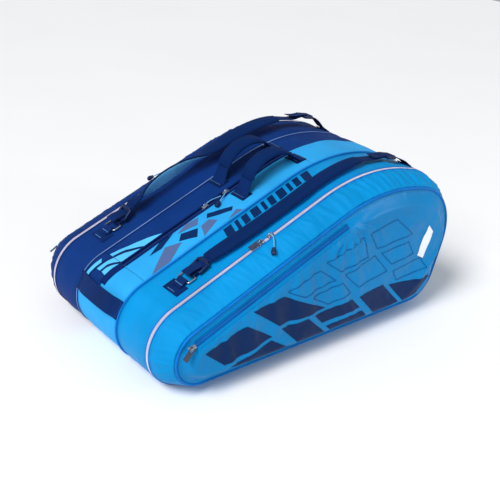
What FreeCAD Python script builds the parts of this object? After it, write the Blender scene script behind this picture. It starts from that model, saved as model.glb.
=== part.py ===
"""Racket tournament bag: three long compartments side by side, a flap-topped one in the middle.

Frame: X along the bag towards its wide end, Y from the front panel to the rear panel, Z up.
The origin is under the middle of the bag, on the surface it stands on.  Millimetres.
"""
import FreeCAD, Part
import Sketcher
import math
import os
from FreeCAD import Placement, Rotation, Vector

# ---------------------------------------------------------------- driving dimensions
SIZES = {
    # side outline: a belt round four circles, each with its centre and radius
    "heel_x": -296, "heel_z": 84, "heel_radius": 84,
    "toe_x": 268, "toe_z": 94, "toe_radius": 94,
    "wide_top_x": 235, "wide_top_z": 176, "wide_top_radius": 145,
    "crest_x": 160, "crest_z": -48, "crest_radius": 380,
    # stations across the bag
    "panel_y": 222, "main_zip_y": 170, "front_seam_y": -68, "rear_seam_y": 78, "middle_zip_y": 14,
    # fabric, gaps and seams
    "fabric": 4, "gap": 0.5, "gusset_inset": 22, "divider_thickness": 3,
    "seam_width": 5, "seam_proud": 2, "hinge_z": 20,
    # end panels and their pockets
    "panel_thickness": 3, "panel_piping_width": 6, "panel_piping_depth": 5, "panel_inset": 28.5,
    "pocket_inset": 31, "pocket_depth": 18, "pocket_slant": 1.6, "pocket_skin": 3,
    "pocket_coil_inset": 42, "pocket_coil_width": 8,
    # zipper coils
    "coil_width": 8, "coil_proud": 1.5, "coil_depth": 4.5,
    # flaps over the middle compartment, measured along the sloping top
    "flap_start": 12, "flap_end": 448, "flap_depth": 30, "flap_clearance": 2.5,
    # grab handles
    "handle_along": 361, "front_handle_y": -22, "rear_handle_y": 54,
    "handle_span": 132, "handle_radius": 70, "handle_webbing": 3.4, "handle_webbing_width": 28,
    "grip_thickness": 10, "grip_width": 34, "grip_start": 22, "handle_neck_width": 8,
    "handle_clear": 11, "handle_floor": 4.2, "foot_length": 26, "foot_width": 36,
    "foot_thickness": 2.4,
    # handle across the narrow end
    "end_handle_width": 36, "end_handle_webbing": 3, "end_handle_standoff": 8, "end_handle_tab": 18,
    "end_handle_angle": 26, "end_handle_span": 136, "end_handle_y": 5,
    # shoulder straps
    "strap_y": 128, "strap_pad_width": 40, "strap_pad_thickness": 9, "strap_webbing_width": 24,
    "strap_webbing": 2, "front_strap_height": 8, "rear_strap_height": 20,
    "pad_low_x": -222, "pad_high_x": 150, "webbing_high_x": 262, "strap_low_along": 80,
    "strap_end_lift": 6, "strap_end_angle": 67.5,
    "anchor_along": 38, "anchor_length": 28, "anchor_width": 44, "anchor_thickness": 2.4,
    "loop_along": 56.8, "loop_length": 9, "loop_height": 9, "loop_bore": 4.6,
    "high_anchor_angle": 58, "high_loop_angle": 62,
    "ring_along": 66, "ring_length": 22, "ring_width": 36, "ring_wire": 3.6, "ring_lift": 3,
    "ladder_length": 26, "ladder_width": 34, "ladder_thickness": 6, "ladder_slot": 3.4,
    "ladder_high_x": 236,
    # sliders, links and cord caps
    "slider_length": 15, "slider_width": 11, "slider_height": 3.6, "bridge_length": 6,
    "bridge_width": 2, "bridge_height": 4.8, "bridge_bore": 1.5, "slider_lift": 1.8,
    "link_length": 28, "link_width": 9.6, "link_thickness": 1.4, "link_window": 8,
    "link_window_width": 6.4, "front_sliders_low": 212, "front_sliders_high": 236,
    "middle_sliders_low": 218, "middle_sliders_high": 273, "pocket_slider_along": -18,
    "cord_radius": 1.1, "cap_length": 15, "cap_width": 11, "cap_height": 8,
}

doc = FreeCAD.newDocument("racket_bag")
sheet = doc.addObject("Spreadsheet::Sheet", "sizes")
for row, (alias, value) in enumerate(SIZES.items(), start=1):
    sheet.set(f"A{row}", alias)
    sheet.set(f"B{row}", str(value))
    sheet.setAlias(f"B{row}", alias)
doc.recompute()

parts = []


def size(alias):
    """A driving dimension, read back from the sheet."""
    return float(sheet.get(alias))


def keep(shape_object, node):
    """Mark a document object as a finished piece of the bag."""
    shape_object.Label = node
    parts.append(shape_object)
    return shape_object


def bind(target, **expressions):
    """Bind properties of an object to expressions; sheet aliases are written as sizes.NAME."""
    for name, expression in expressions.items():
        target.setExpression(name, expression)
    return target


# ---------------------------------------------------------------- side outline
CIRCLES = ("heel", "toe", "wide_top", "crest")


def circle_centre(name):
    """Centre of one of the outline's circles, as a sketch point."""
    return Vector(size(f"{name}_x"), size(f"{name}_z"), 0)


def belt_normal(name, following):
    """Outward normal of the straight run of the belt between two neighbouring circles."""
    run = circle_centre(following) - circle_centre(name)
    shrink = (size(f"{name}_radius") - size(f"{following}_radius")) / run.Length
    along = Vector(run).normalize()
    outward = Vector(along.y, -along.x, 0)
    return along * shrink + outward * math.sqrt(1 - shrink ** 2)


def constraint(*arguments):
    """A sketch constraint."""
    return Sketcher.Constraint(*arguments)


def bind_constraint(sketch, kind, geometry, value, expression):
    """Add a dimension to a sketch and bind it to the sheet."""
    index = sketch.addConstraint(constraint(kind, *geometry, value))
    sketch.setExpression(f"Constraints[{index}]", expression)


def pin(sketch, geometry, position, axis, alias):
    """Fix one coordinate of a sketch point to a value of the sheet, whatever its sign."""
    value = size(alias)
    if value < 0:
        bind_constraint(sketch, f"Distance{axis}", (geometry, position, -1, 1), -value, f"-sizes.{alias}")
    else:
        bind_constraint(sketch, f"Distance{axis}", (-1, 1, geometry, position), value, f"sizes.{alias}")


def outline_sketch(name, offset="0 * sizes.fabric", y="0"):
    """Side view of the bag in a plane across Y, moved outwards by an offset expression."""
    sketch = doc.addObject("Sketcher::SketchObject", name)
    sketch.Placement = Placement(Vector(0, 0, 0), Rotation(Vector(1, 0, 0), 90))
    sketch.setExpression(".Placement.Base.y", y)
    growth = sketch_value(offset)
    count = len(CIRCLES)
    normals = [belt_normal(CIRCLES[i], CIRCLES[(i + 1) % count]) for i in range(count)]
    lines = []
    for i in range(count):
        following = CIRCLES[(i + 1) % count]
        start = circle_centre(CIRCLES[i]) + normals[i] * (size(f"{CIRCLES[i]}_radius") + growth)
        end = circle_centre(following) + normals[i] * (size(f"{following}_radius") + growth)
        lines.append(sketch.addGeometry(Part.LineSegment(start, end)))
    for i, circle in enumerate(CIRCLES):
        centre = circle_centre(circle)
        radius = size(f"{circle}_radius") + growth
        start_angle = math.atan2(normals[i - 1].y, normals[i - 1].x)
        end_angle = math.atan2(normals[i].y, normals[i].x)
        full = Part.Circle(centre, Vector(0, 0, 1), radius)
        arc = sketch.addGeometry(Part.ArcOfCircle(full, start_angle, end_angle))
        sketch.addConstraint(constraint("Tangent", lines[i - 1], 2, arc, 1))
        sketch.addConstraint(constraint("Tangent", arc, 2, lines[i], 1))
        pin(sketch, arc, 3, "X", f"{circle}_x")
        pin(sketch, arc, 3, "Y", f"{circle}_z")
        bind_constraint(sketch, "Radius", (arc,), radius, f"sizes.{circle}_radius + ({offset})")
    return sketch


def sketch_value(expression):
    """The number that an expression of the sheet comes to, through a spare cell."""
    sheet.set("D1", "=" + expression.replace("sizes.", ""))
    sheet.recompute()
    return float(sheet.get("D1"))


# The sloping top: a frame whose first axis runs up the slope from its start above the narrow end.
TOP_NORMAL = belt_normal("crest", "heel")
SLOPE_ANGLE = math.degrees(math.atan2(-TOP_NORMAL.x, TOP_NORMAL.y))
SLOPE_TURN = Rotation(Vector(0, 1, 0), -SLOPE_ANGLE)
SLOPE_START = Vector(size("heel_x") + size("heel_radius") * TOP_NORMAL.x, 0,
                     size("heel_z") + size("heel_radius") * TOP_NORMAL.y)
CREST_START = Vector(size("crest_x") + size("crest_radius") * TOP_NORMAL.x, 0,
                     size("crest_z") + size("crest_radius") * TOP_NORMAL.y)
STRAIGHT_END = CREST_START.distanceToPoint(SLOPE_START)
CREST_END_NORMAL = belt_normal("wide_top", "crest")


def on_slope(along, y, lift=0.0):
    """A point on the bag's top, at a distance along the slope and a height off the fabric."""
    past = max(0.0, along - STRAIGHT_END)
    turn = past / size("crest_radius")
    radius = size("crest_radius") + lift
    run = min(along, STRAIGHT_END) + radius * math.sin(turn)
    rise = lift * math.cos(turn) - size("crest_radius") * (1 - math.cos(turn))
    local = Vector(run, y, rise)
    return SLOPE_START + SLOPE_TURN.multVec(local)


def slope_place(along, y, lift=0.0, turn=0.0):
    """Placement on the slope, turned about the fabric's normal; follows the curved crest too."""
    dip = math.degrees(max(0.0, along - STRAIGHT_END) / size("crest_radius"))
    tilt = Rotation(Vector(0, 1, 0), dip - SLOPE_ANGLE)
    return Placement(on_slope(along, y, lift), tilt * Rotation(Vector(0, 0, 1), turn))


# ---------------------------------------------------------------- bands cut from the outline
outline = outline_sketch("side_outline")
skin_outline = outline_sketch("inner_outline", "-sizes.fabric")
proud_outline = outline_sketch("coil_outline", "sizes.coil_proud")
coil_floor_outline = outline_sketch("coil_floor_outline", "sizes.coil_proud - sizes.coil_depth")
seam_outline = outline_sketch("seam_outline", "sizes.seam_proud")


def slab(loop, y, width, name):
    """The solid swept by a loop across the bag, from y, over width."""
    solid = doc.addObject("Part::Extrusion", name)
    solid.Base = loop
    solid.DirMode = "Custom"
    solid.Dir = Vector(0, 1, 0)
    solid.Solid = True
    bind(solid, LengthFwd=width)
    solid.setExpression(".Placement.Base.y", y)
    return solid


def loft(start_offset, start_y, end_offset, end_y, name):
    """The solid between two outlines of different size at two stations across the bag."""
    first = outline_sketch(name + "_start", start_offset, start_y)
    last = outline_sketch(name + "_end", end_offset, end_y)
    solid = doc.addObject("Part::Loft", name)
    solid.Sections = [first, last]
    solid.Solid = True
    solid.Ruled = True
    return solid


def cut(base, tool, name):
    """Base less tool."""
    result = doc.addObject("Part::Cut", name)
    result.Base = base
    result.Tool = tool
    return result


def common(base, tool, name):
    """What base and tool share."""
    result = doc.addObject("Part::Common", name)
    result.Base = base
    result.Tool = tool
    return result


def fuse(shapes, name):
    """Several solids made one."""
    result = doc.addObject("Part::MultiFuse", name)
    result.Shapes = shapes
    return result


def box(length, width, height, name, placement):
    """A box centred on its placement in length and width, standing up from it."""
    solid = doc.addObject("Part::Box", name)
    bind(solid, Length=length, Width=width, Height=height)
    solid.recompute()
    shift = Vector(-solid.Length.Value / 2, -solid.Width.Value / 2, 0)
    solid.Placement = placement * Placement(shift, Rotation())
    return solid


def above(height, name):
    """All the space over a height, as one large box."""
    return box("1200", "900", "900", name, Placement(Vector(0, 0, height), Rotation()))


def ring(outer, inner, y, width, name):
    """A band of fabric that runs all the way round the bag."""
    solid = slab(outer, y, width, name + "_outside")
    hollow = slab(inner, f"{y} - 1", f"{width} + 2", name + "_inside")
    return cut(solid, hollow, name)


def inner_gussets():
    """The fixed fabric bands of the two outer compartments."""
    zip_edge = "sizes.main_zip_y - sizes.coil_width / 2 - sizes.gap"
    front_y = f"-({zip_edge})"
    front_width = f"{zip_edge} + sizes.front_seam_y - sizes.seam_width / 2"
    rear_y = "sizes.rear_seam_y + sizes.seam_width / 2"
    rear_width = f"{zip_edge} - sizes.rear_seam_y - sizes.seam_width / 2"
    keep(ring(outline, skin_outline, front_y, front_width, "front_inner_gusset"), "front_inner_gusset")
    keep(ring(outline, skin_outline, rear_y, rear_width, "rear_inner_gusset"), "rear_inner_gusset")


def seams_and_dividers():
    """Piped seams beside the middle compartment, and the divider wall sewn into each."""
    for side in ("front", "rear"):
        seam_y = f"sizes.{side}_seam_y - sizes.seam_width / 2"
        band = ring(seam_outline, skin_outline, seam_y, "sizes.seam_width", f"{side}_seam_band")
        floor = above(0, f"{side}_seam_floor")
        keep(common(band, floor, f"{side}_seam_piping"), f"{side}_seam_piping")
        wall_y = f"sizes.{side}_seam_y - sizes.divider_thickness / 2"
        keep(slab(skin_outline, wall_y, "sizes.divider_thickness", f"{side}_divider"), f"{side}_divider")


def flap_zone(name, y_low, y_high):
    """The block of space over the middle compartment that a flap takes up."""
    middle = (size("flap_start") + size("flap_end")) / 2
    local = Vector(middle, (y_low + y_high) / 2, -size("flap_depth"))
    centre = SLOPE_START + SLOPE_TURN.multVec(local)
    length = "sizes.flap_end - sizes.flap_start"
    return box(length, str(y_high - y_low), "sizes.flap_depth + 20", name,
               Placement(centre, SLOPE_TURN))


def middle_compartment():
    """Shell of the middle compartment with an open top, and the two flaps that close it."""
    low = "sizes.front_seam_y + sizes.seam_width / 2"
    span = "sizes.rear_seam_y - sizes.front_seam_y - sizes.seam_width"
    band = ring(outline, skin_outline, low, span, "middle_band")
    edge_low = size("front_seam_y") + size("seam_width") / 2
    edge_high = size("rear_seam_y") - size("seam_width") / 2
    opening = flap_zone("middle_opening", edge_low - 1, edge_high + 1)
    opening.setExpression("Length", "sizes.flap_end - sizes.flap_start + 2 * sizes.gap")
    keep(cut(band, opening, "middle_shell"), "middle_shell")
    coil_low = size("middle_zip_y") - size("coil_width")
    coil_high = size("middle_zip_y")
    flaps = {"front_flap": (edge_low + size("gap"), coil_low),
             "rear_flap": (coil_high + size("flap_clearance"), edge_high - size("gap"))}
    for name, (y_low, y_high) in flaps.items():
        flap_band = ring(outline, skin_outline, low, span, f"{name}_band")
        keep(common(flap_band, flap_zone(f"{name}_zone", y_low, y_high), name), name)
    coil = ring(proud_outline, coil_floor_outline, low, span, "middle_coil_band")
    keep(common(coil, flap_zone("middle_coil_zone", coil_low, coil_high), "middle_zip_coil"),
         "middle_zip_coil")


# ---------------------------------------------------------------- end covers with their pockets
def mirrored(original, node):
    """The same piece on the other side of the bag, mirrored across its middle plane."""
    twin = doc.addObject("Part::Mirroring", node)
    twin.Source = original
    twin.Normal = Vector(0, 1, 0)
    twin.Base = Vector(0, 0, 0)
    return keep(twin, node)


PANEL_FRONT = "-sizes.panel_y - sizes.panel_thickness"


def tapered_gusset():
    """Front gusset between the main zipper and the panel, narrowing towards the panel."""
    start = "-sizes.main_zip_y - sizes.coil_width / 2"
    end = "-sizes.panel_y"
    solid = loft("0 * sizes.fabric", start, "-sizes.gusset_inset", end, "gusset_outside")
    hollow = loft("-sizes.fabric", start, "-sizes.gusset_inset - sizes.fabric", end, "gusset_inside")
    return cut(solid, hollow, "gusset_band")


def front_cover():
    """Everything that opens with the front panel, and the strip of gusset that stays below it."""
    band = tapered_gusset()
    upper = above(size("hinge_z") + size("gap"), "cover_space")
    strip_space = box("1200", "900", "sizes.hinge_z", "strip_space", Placement())
    gusset = keep(common(band, upper, "front_outer_gusset"), "front_outer_gusset")
    strip = keep(common(band, strip_space, "front_bottom_strip"), "front_bottom_strip")
    coil_y = "-sizes.main_zip_y - sizes.coil_width / 2"
    coil_ring = ring(proud_outline, coil_floor_outline, coil_y, "sizes.coil_width", "front_coil_band")
    coil = keep(common(coil_ring, upper, "front_zip_coil"), "front_zip_coil")
    panel_loop = outline_sketch("panel_outline", "-sizes.panel_inset")
    panel = keep(slab(panel_loop, PANEL_FRONT, "sizes.panel_thickness", "front_panel"), "front_panel")
    piping_loop = outline_sketch("piping_outline", "-sizes.panel_inset + sizes.panel_piping_width")
    piping_band = ring(piping_loop, panel_loop, "-sizes.panel_y - sizes.panel_piping_depth",
                       "sizes.panel_piping_depth", "front_piping_band")
    piping_space = above(size("hinge_z"), "piping_space")
    piping = keep(common(piping_band, piping_space, "front_panel_piping"), "front_panel_piping")
    return [gusset, strip, coil, panel, piping]


def front_pocket():
    """The domed pocket skin on the front panel, split by the coil of its own zipper."""
    rim = "-sizes.pocket_inset"
    crown = "-sizes.pocket_inset - sizes.pocket_depth * sizes.pocket_slant"
    crown_y = "-sizes.panel_y - sizes.panel_thickness - sizes.pocket_depth"
    outside = loft(rim, PANEL_FRONT, crown, crown_y, "pocket_outside")
    inside = loft(rim + " - sizes.pocket_skin", PANEL_FRONT, crown + " - sizes.pocket_skin",
                  crown_y + " + sizes.pocket_skin", "pocket_inside")
    shell = cut(outside, inside, "pocket_shell")
    middle = (size("pocket_slider_along") + STRAIGHT_END) / 2
    depth = size("pocket_coil_inset") + size("pocket_coil_width") / 2
    centre = SLOPE_START + SLOPE_TURN.multVec(Vector(middle, -size("panel_y"), -depth))
    length = f"{STRAIGHT_END} - sizes.pocket_slider_along"
    slot = box(length, "100", "sizes.pocket_coil_width", "pocket_coil_zone",
               Placement(centre, SLOPE_TURN))
    skin = keep(cut(shell, slot, "front_pocket"), "front_pocket")
    coil = keep(common(shell, slot, "front_pocket_coil"), "front_pocket_coil")
    return [skin, coil]


# ---------------------------------------------------------------- sketched hardware
def origin_plane(body, role):
    """One of a body's own origin planes."""
    return next(item for item in body.Origin.OriginFeatures if item.Role == role)


def body_sketch(body, name, role="XY_Plane"):
    """A sketch attached to one of a body's origin planes."""
    sketch = body.newObject("Sketcher::SketchObject", name)
    sketch.AttachmentSupport = (origin_plane(body, role), "")
    sketch.MapMode = "FlatFace"
    return sketch


def centred_rectangle(sketch, length, width, shift="0 * sizes.gap"):
    """A rectangle centred across the sketch and moved along it by a shift, all from the sheet."""
    half_length = sketch_value(length) / 2
    half_width = sketch_value(width) / 2
    middle = sketch_value(shift)
    corners = [Vector(middle - half_length, -half_width, 0), Vector(middle + half_length, -half_width, 0),
               Vector(middle + half_length, half_width, 0), Vector(middle - half_length, half_width, 0)]
    sides = [sketch.addGeometry(Part.LineSegment(corners[i], corners[(i + 1) % 4])) for i in range(4)]
    for i in range(4):
        sketch.addConstraint(constraint("Coincident", sides[i], 2, sides[(i + 1) % 4], 1))
        sketch.addConstraint(constraint("Horizontal" if i % 2 == 0 else "Vertical", sides[i]))
    bind_constraint(sketch, "DistanceX", (sides[0], 1, sides[0], 2), 2 * half_length, length)
    bind_constraint(sketch, "DistanceY", (sides[1], 1, sides[1], 2), 2 * half_width, width)
    bind_constraint(sketch, "DistanceY", (-1, 1, sides[1], 2), half_width, f"({width}) / 2")
    right = middle + half_length
    bind_constraint(sketch, "DistanceX", (-1, 1, sides[1], 1), right, f"{shift} + ({length}) / 2")


def plate(name, length, width, thickness, window=None, round_edges="0.6"):
    """A flat plate, with a rectangular window if one is given, lying on its XY plane."""
    body = doc.addObject("PartDesign::Body", name)
    sketch = body_sketch(body, name + "_sketch")
    centred_rectangle(sketch, length, width)
    if window:
        centred_rectangle(sketch, *window)
    pad = body.newObject("PartDesign::Pad", name + "_pad")
    pad.Profile = sketch
    bind(pad, Length=thickness)
    body.recompute(True)
    upright = [f"Edge{i + 1}" for i, edge in enumerate(pad.Shape.Edges)
               if abs(edge.tangentAt(edge.FirstParameter).z) > 0.99]
    fillet = body.newObject("PartDesign::Fillet", name + "_fillet")
    fillet.Base = (pad, upright)
    bind(fillet, Radius=round_edges)
    body.Tip = fillet
    return body


def arch(name, span, radius, thickness, width):
    """A strap bent into an arch standing on its two ends, padded evenly about its middle."""
    body = doc.addObject("PartDesign::Body", name)
    sketch = body_sketch(body, name + "_sketch", "XZ_Plane")
    half = sketch_value(span) / 2
    inner_radius = sketch_value(radius)
    outer_radius = inner_radius + sketch_value(thickness)
    drop = math.sqrt(inner_radius ** 2 - half ** 2)
    low_angle = math.atan2(drop, half)
    centre = Vector(0, -drop, 0)
    arcs = []
    for arc_radius in (inner_radius, outer_radius):
        circle = Part.Circle(centre, Vector(0, 0, 1), arc_radius)
        arcs.append(sketch.addGeometry(Part.ArcOfCircle(circle, low_angle, math.pi - low_angle)))
    inner, outer = arcs
    for end in (1, 2):
        line = Part.LineSegment(sketch.getPoint(inner, end), sketch.getPoint(outer, end))
        side = sketch.addGeometry(line)
        sketch.addConstraint(constraint("Coincident", inner, end, side, 1))
        sketch.addConstraint(constraint("Coincident", side, 2, outer, end))
        sketch.addConstraint(constraint("PointOnObject", inner, end, -1))
        sketch.addConstraint(constraint("PointOnObject", inner, 3, side))
    sketch.addConstraint(constraint("Coincident", inner, 3, outer, 3))
    sketch.addConstraint(constraint("PointOnObject", inner, 3, -2))
    bind_constraint(sketch, "Radius", (inner,), inner_radius, radius)
    bind_constraint(sketch, "Radius", (outer,), outer_radius, f"{radius} + {thickness}")
    bind_constraint(sketch, "DistanceX", (inner, 2, inner, 1), 2 * half, span)
    pad = body.newObject("PartDesign::Pad", name + "_pad")
    pad.Profile = sketch
    pad.SideType = "Symmetric"
    bind(pad, Length=width)
    body.Tip = pad
    return body


# ---------------------------------------------------------------- grab handles
GRIP_INNER = "(sizes.handle_radius - (sizes.grip_thickness - sizes.handle_webbing) / 2)"
GRIP_SPAN = f"2 * sqrt({GRIP_INNER}^2 - sizes.handle_radius^2 + (sizes.handle_span / 2)^2)"


def grab_handle(side):
    """Webbing arch with a padded grip on it, and the two feet it is sewn down with."""
    y = size(f"{side}_handle_y")
    place = slope_place(size("handle_along"), y)
    wide = arch(f"{side}_arch", "sizes.handle_span", "sizes.handle_radius", "sizes.handle_webbing",
                "sizes.handle_webbing_width")
    narrow = arch(f"{side}_neck", "sizes.handle_span", "sizes.handle_radius", "sizes.handle_webbing",
                  "sizes.handle_neck_width")
    sleeve = arch(f"{side}_sleeve", GRIP_SPAN, GRIP_INNER, "sizes.grip_thickness", "sizes.grip_width")
    for body in (wide, narrow, sleeve):
        body.Placement = place

    def standing(height, name):
        """The space above a height over the fabric at the handle."""
        local = Placement(Vector(0, 0, size(height)), Rotation())
        return box("300", "100", "200", name, place * local)

    upper = common(wide, standing("handle_clear", f"{side}_arch_space"), f"{side}_arch_upper")
    necks = common(narrow, standing("handle_floor", f"{side}_neck_space"), f"{side}_arch_necks")
    keep(fuse([upper, necks], f"{side}_handle"), f"{side}_handle")
    middle = common(sleeve, standing("grip_start", f"{side}_grip_space"), f"{side}_sleeve_upper")
    keep(cut(middle, wide, f"{side}_handle_grip"), f"{side}_handle_grip")

    feet = []
    for end in (-1, 1):
        reach = (size("handle_span") + size("handle_webbing")) / 2
        foot_place = slope_place(size("handle_along") + end * reach, y)
        feet.append(box("sizes.foot_length", "sizes.foot_width", "sizes.foot_thickness",
                        f"{side}_foot", foot_place))
    keep(fuse(feet, f"{side}_handle_feet"), f"{side}_handle_feet")


def end_handle():
    """Webbing handle standing off the narrow end, between the two middle seams."""
    angle = math.radians(size("end_handle_angle"))
    outward = Vector(-math.cos(angle), 0, math.sin(angle))
    centre = Vector(size("heel_x"), size("end_handle_y"), size("heel_z"))
    turn = Rotation(Vector(0, 1, 0), size("end_handle_angle") - 90)
    place = Placement(centre + outward * size("heel_radius"), turn)
    band_place = place * Placement(Vector(0, 0, size("end_handle_standoff")), Rotation())
    pieces = [box("sizes.end_handle_width", "sizes.end_handle_span", "sizes.end_handle_webbing",
                  "end_handle_band", band_place)]
    for end in (-1, 1):
        reach = end * (size("end_handle_span") - size("end_handle_tab")) / 2
        tab_place = place * Placement(Vector(0, reach, 0), Rotation())
        pieces.append(box("sizes.end_handle_width", "sizes.end_handle_tab",
                          "sizes.end_handle_standoff + sizes.end_handle_webbing",
                          "end_handle_tab", tab_place))
    keep(fuse(pieces, "end_handle"), "end_handle")


# ---------------------------------------------------------------- shoulder straps
def world_zone(x_low, x_high, name):
    """The space over the front strap between two places along the bag."""
    place = Placement(Vector((x_low + x_high) / 2, 0, 150), Rotation())
    return box(f"{x_high - x_low}", "900", "400", name, place)


def strap_band(inner, outer, width, x_low, x_high, name):
    """A strip of strap that follows the top of the bag at a height, between two places."""
    low_loop = outline_sketch(name + "_low", inner)
    high_loop = outline_sketch(name + "_high", outer)
    band = ring(high_loop, low_loop, f"-sizes.strap_y - {width} / 2", width, name + "_band")
    return common(band, world_zone(x_low, x_high, name + "_zone"), name)


def on_circle(circle, angle, lift=0.0):
    """Placement over one of the outline's circles, facing outwards, on the front strap's line."""
    turn = math.radians(angle)
    reach = size(f"{circle}_radius") + lift
    centre = circle_centre(circle)
    point = Vector(centre.x + reach * math.cos(turn), -size("strap_y"), centre.y + reach * math.sin(turn))
    return Placement(point, Rotation(Vector(0, 1, 0), 90 - angle))


def angle_at(circle, x, lift):
    """Angle at which a circle of the outline, grown by a lift, reaches a place along the bag."""
    return math.degrees(math.acos((x - circle_centre(circle).x) / (size(f"{circle}_radius") + lift)))


def top_point(x, lift):
    """The point at a place along the bag on the line that runs at a height off its top."""
    if x < CREST_START.x + lift * TOP_NORMAL.x:
        lean = math.radians(SLOPE_ANGLE)
        along = (x - SLOPE_START.x + lift * math.sin(lean)) / math.cos(lean)
        return on_slope(along, -size("strap_y"), lift)
    crest_end = size("crest_x") + (size("crest_radius") + lift) * CREST_END_NORMAL.x
    circle = "crest" if x < crest_end else "wide_top"
    return on_circle(circle, angle_at(circle, x, lift), lift).Base


def strip_between(start, end, width, thickness, name):
    """A straight flat strip of webbing between two points of the strap's plane."""
    run = end - start
    pitch = math.degrees(math.atan2(run.z, run.x))
    place = Placement((start + end) / 2, Rotation(Vector(0, 1, 0), -pitch))
    return box(f"{run.Length}", width, thickness, name, place), place


def ladder_lock(place, name):
    """A moulded lock round the webbing, with a tunnel that the webbing runs through."""
    lower = Placement(Vector(0, 0, (size("strap_webbing") - size("ladder_thickness")) / 2), Rotation())
    tunnel_lower = Placement(Vector(0, 0, (size("strap_webbing") - size("ladder_slot")) / 2), Rotation())
    shell = box("sizes.ladder_length", "sizes.ladder_width", "sizes.ladder_thickness",
                name + "_shell", place * lower)
    tunnel = box("sizes.ladder_length + 2", "sizes.strap_webbing_width + 2 * sizes.gap",
                 "sizes.ladder_slot", name + "_tunnel", place * tunnel_lower)
    return cut(shell, tunnel, name)


def shoulder_strap(side):
    """Padded strap with webbing and a ladder lock at each end, built on the front side."""
    height = f"sizes.{side}_strap_height"
    inset = "(sizes.strap_pad_thickness - sizes.strap_webbing) / 2"
    pad = strap_band(height, f"{height} + sizes.strap_pad_thickness", "sizes.strap_pad_width",
                     size("pad_low_x"), size("pad_high_x"), f"{side}_pad")
    high = strap_band(f"{height} + {inset}", f"{height} + {inset} + sizes.strap_webbing",
                      "sizes.strap_webbing_width", size("pad_high_x"), size("webbing_high_x"),
                      f"{side}_high_webbing")
    web_lift = sketch_value(f"{height} + {inset}")
    low_start = on_slope(size("strap_low_along"), -size("strap_y"), size("strap_end_lift"))
    low_end = top_point(size("pad_low_x"), web_lift)
    low_web, low_place = strip_between(low_start, low_end, "sizes.strap_webbing_width",
                                       "sizes.strap_webbing", f"{side}_low_webbing")
    high_start = top_point(size("webbing_high_x") - 1, web_lift)
    high_end = on_circle("wide_top", size("strap_end_angle"), size("strap_end_lift")).Base
    high_web, _ = strip_between(high_start, high_end, "sizes.strap_webbing_width",
                                "sizes.strap_webbing", f"{side}_end_webbing")
    webbing = fuse([high, low_web, high_web], f"{side}_webbing")
    high_angle = angle_at("crest", size("ladder_high_x"), web_lift)
    high_place = on_circle("crest", high_angle, web_lift)
    locks = fuse([ladder_lock(low_place, f"{side}_low_lock"), ladder_lock(high_place, f"{side}_high_lock")],
                 f"{side}_locks")
    return [(pad, "strap_pad"), (webbing, "strap_webbing"), (locks, "strap_ladder_locks")]


def strap_anchors():
    """Sewn patches and loops that hold the straps, and the rings in the lower loops."""
    lows = []
    highs = []
    rings = []
    patch_size = ("sizes.anchor_length", "sizes.anchor_width", "sizes.anchor_thickness")
    loop_size = ("sizes.loop_length", "sizes.strap_webbing_width", "sizes.loop_height")
    bore_lift = Placement(Vector(0, 0, size("ring_lift") + (size("ring_wire") - size("loop_bore")) / 2),
                          Rotation())
    for name, y in (("front", -size("strap_y")), ("rear", size("strap_y"))):
        patch = box(*patch_size, f"{name}_low_patch", slope_place(size("anchor_along"), y))
        loop_place = slope_place(size("loop_along"), y)
        loop = box(*loop_size, f"{name}_low_loop", loop_place)
        bore = box("sizes.loop_bore", "sizes.ring_width", "sizes.loop_bore", f"{name}_low_bore",
                   loop_place * bore_lift)
        lows += [patch, cut(loop, bore, f"{name}_low_eye")]
        frame = plate(f"{name}_ring", "sizes.ring_length", "sizes.ring_width", "sizes.ring_wire",
                      ("sizes.ring_length - 2 * sizes.ring_wire", "sizes.ring_width - 2 * sizes.ring_wire"))
        frame.Placement = slope_place(size("ring_along"), y, size("ring_lift"))
        rings.append(frame)
        flip = Placement(Vector(0, y + size("strap_y"), 0), Rotation())
        for piece, sizes, angle in (("patch", patch_size, "high_anchor_angle"),
                                    ("loop", loop_size, "high_loop_angle")):
            place = flip * on_circle("wide_top", size(angle))
            highs.append(box(*sizes, f"{name}_high_{piece}", place))
    keep(fuse(lows, "strap_low_anchors"), "strap_low_anchors")
    keep(fuse(highs, "strap_high_anchors"), "strap_high_anchors")
    keep(fuse(rings, "strap_rings"), "strap_rings")


# ---------------------------------------------------------------- sliders, links, cords and caps
def slider(place, node):
    """Zipper slider: a rounded plate over the coil with a bored bridge on top."""
    base = plate(node + "_plate", "sizes.slider_length", "sizes.slider_width", "sizes.slider_height",
                 round_edges="3")
    base.Placement = place
    top = place * Placement(Vector(0, 0, size("slider_height")), Rotation())
    bridge = box("sizes.bridge_length", "sizes.bridge_width", "sizes.bridge_height",
                 node + "_bridge", top)
    bore = doc.addObject("Part::Cylinder", node + "_bore")
    bind(bore, Radius="sizes.bridge_bore", Height="sizes.bridge_width + 2")
    bore_local = Placement(Vector(0, size("bridge_width") / 2 + 1, size("bridge_height") / 2),
                           Rotation(Vector(1, 0, 0), 90))
    bore.Placement = top * bore_local
    return keep(cut(fuse([base, bridge], node + "_solid"), bore, node), node)


def link(place, turn, node):
    """Pull link whose end bar lies in a slider's bridge; it points along the turn."""
    window_middle = "sizes.link_window / 2 + sizes.link_thickness - sizes.link_length / 2"
    body = plate(node + "_body", "sizes.link_length", "sizes.link_width", "sizes.link_thickness",
                 ("sizes.link_window", "sizes.link_window_width", window_middle), round_edges="0.3")
    up = size("slider_height") + (size("bridge_height") - size("link_thickness")) / 2
    out = (size("link_length") - size("link_thickness")) / 2
    local = Placement(Vector(0, 0, up), Rotation(Vector(0, 0, 1), turn))
    body.Placement = place * local * Placement(Vector(out, 0, 0), Rotation())
    return keep(body, node)


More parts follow.
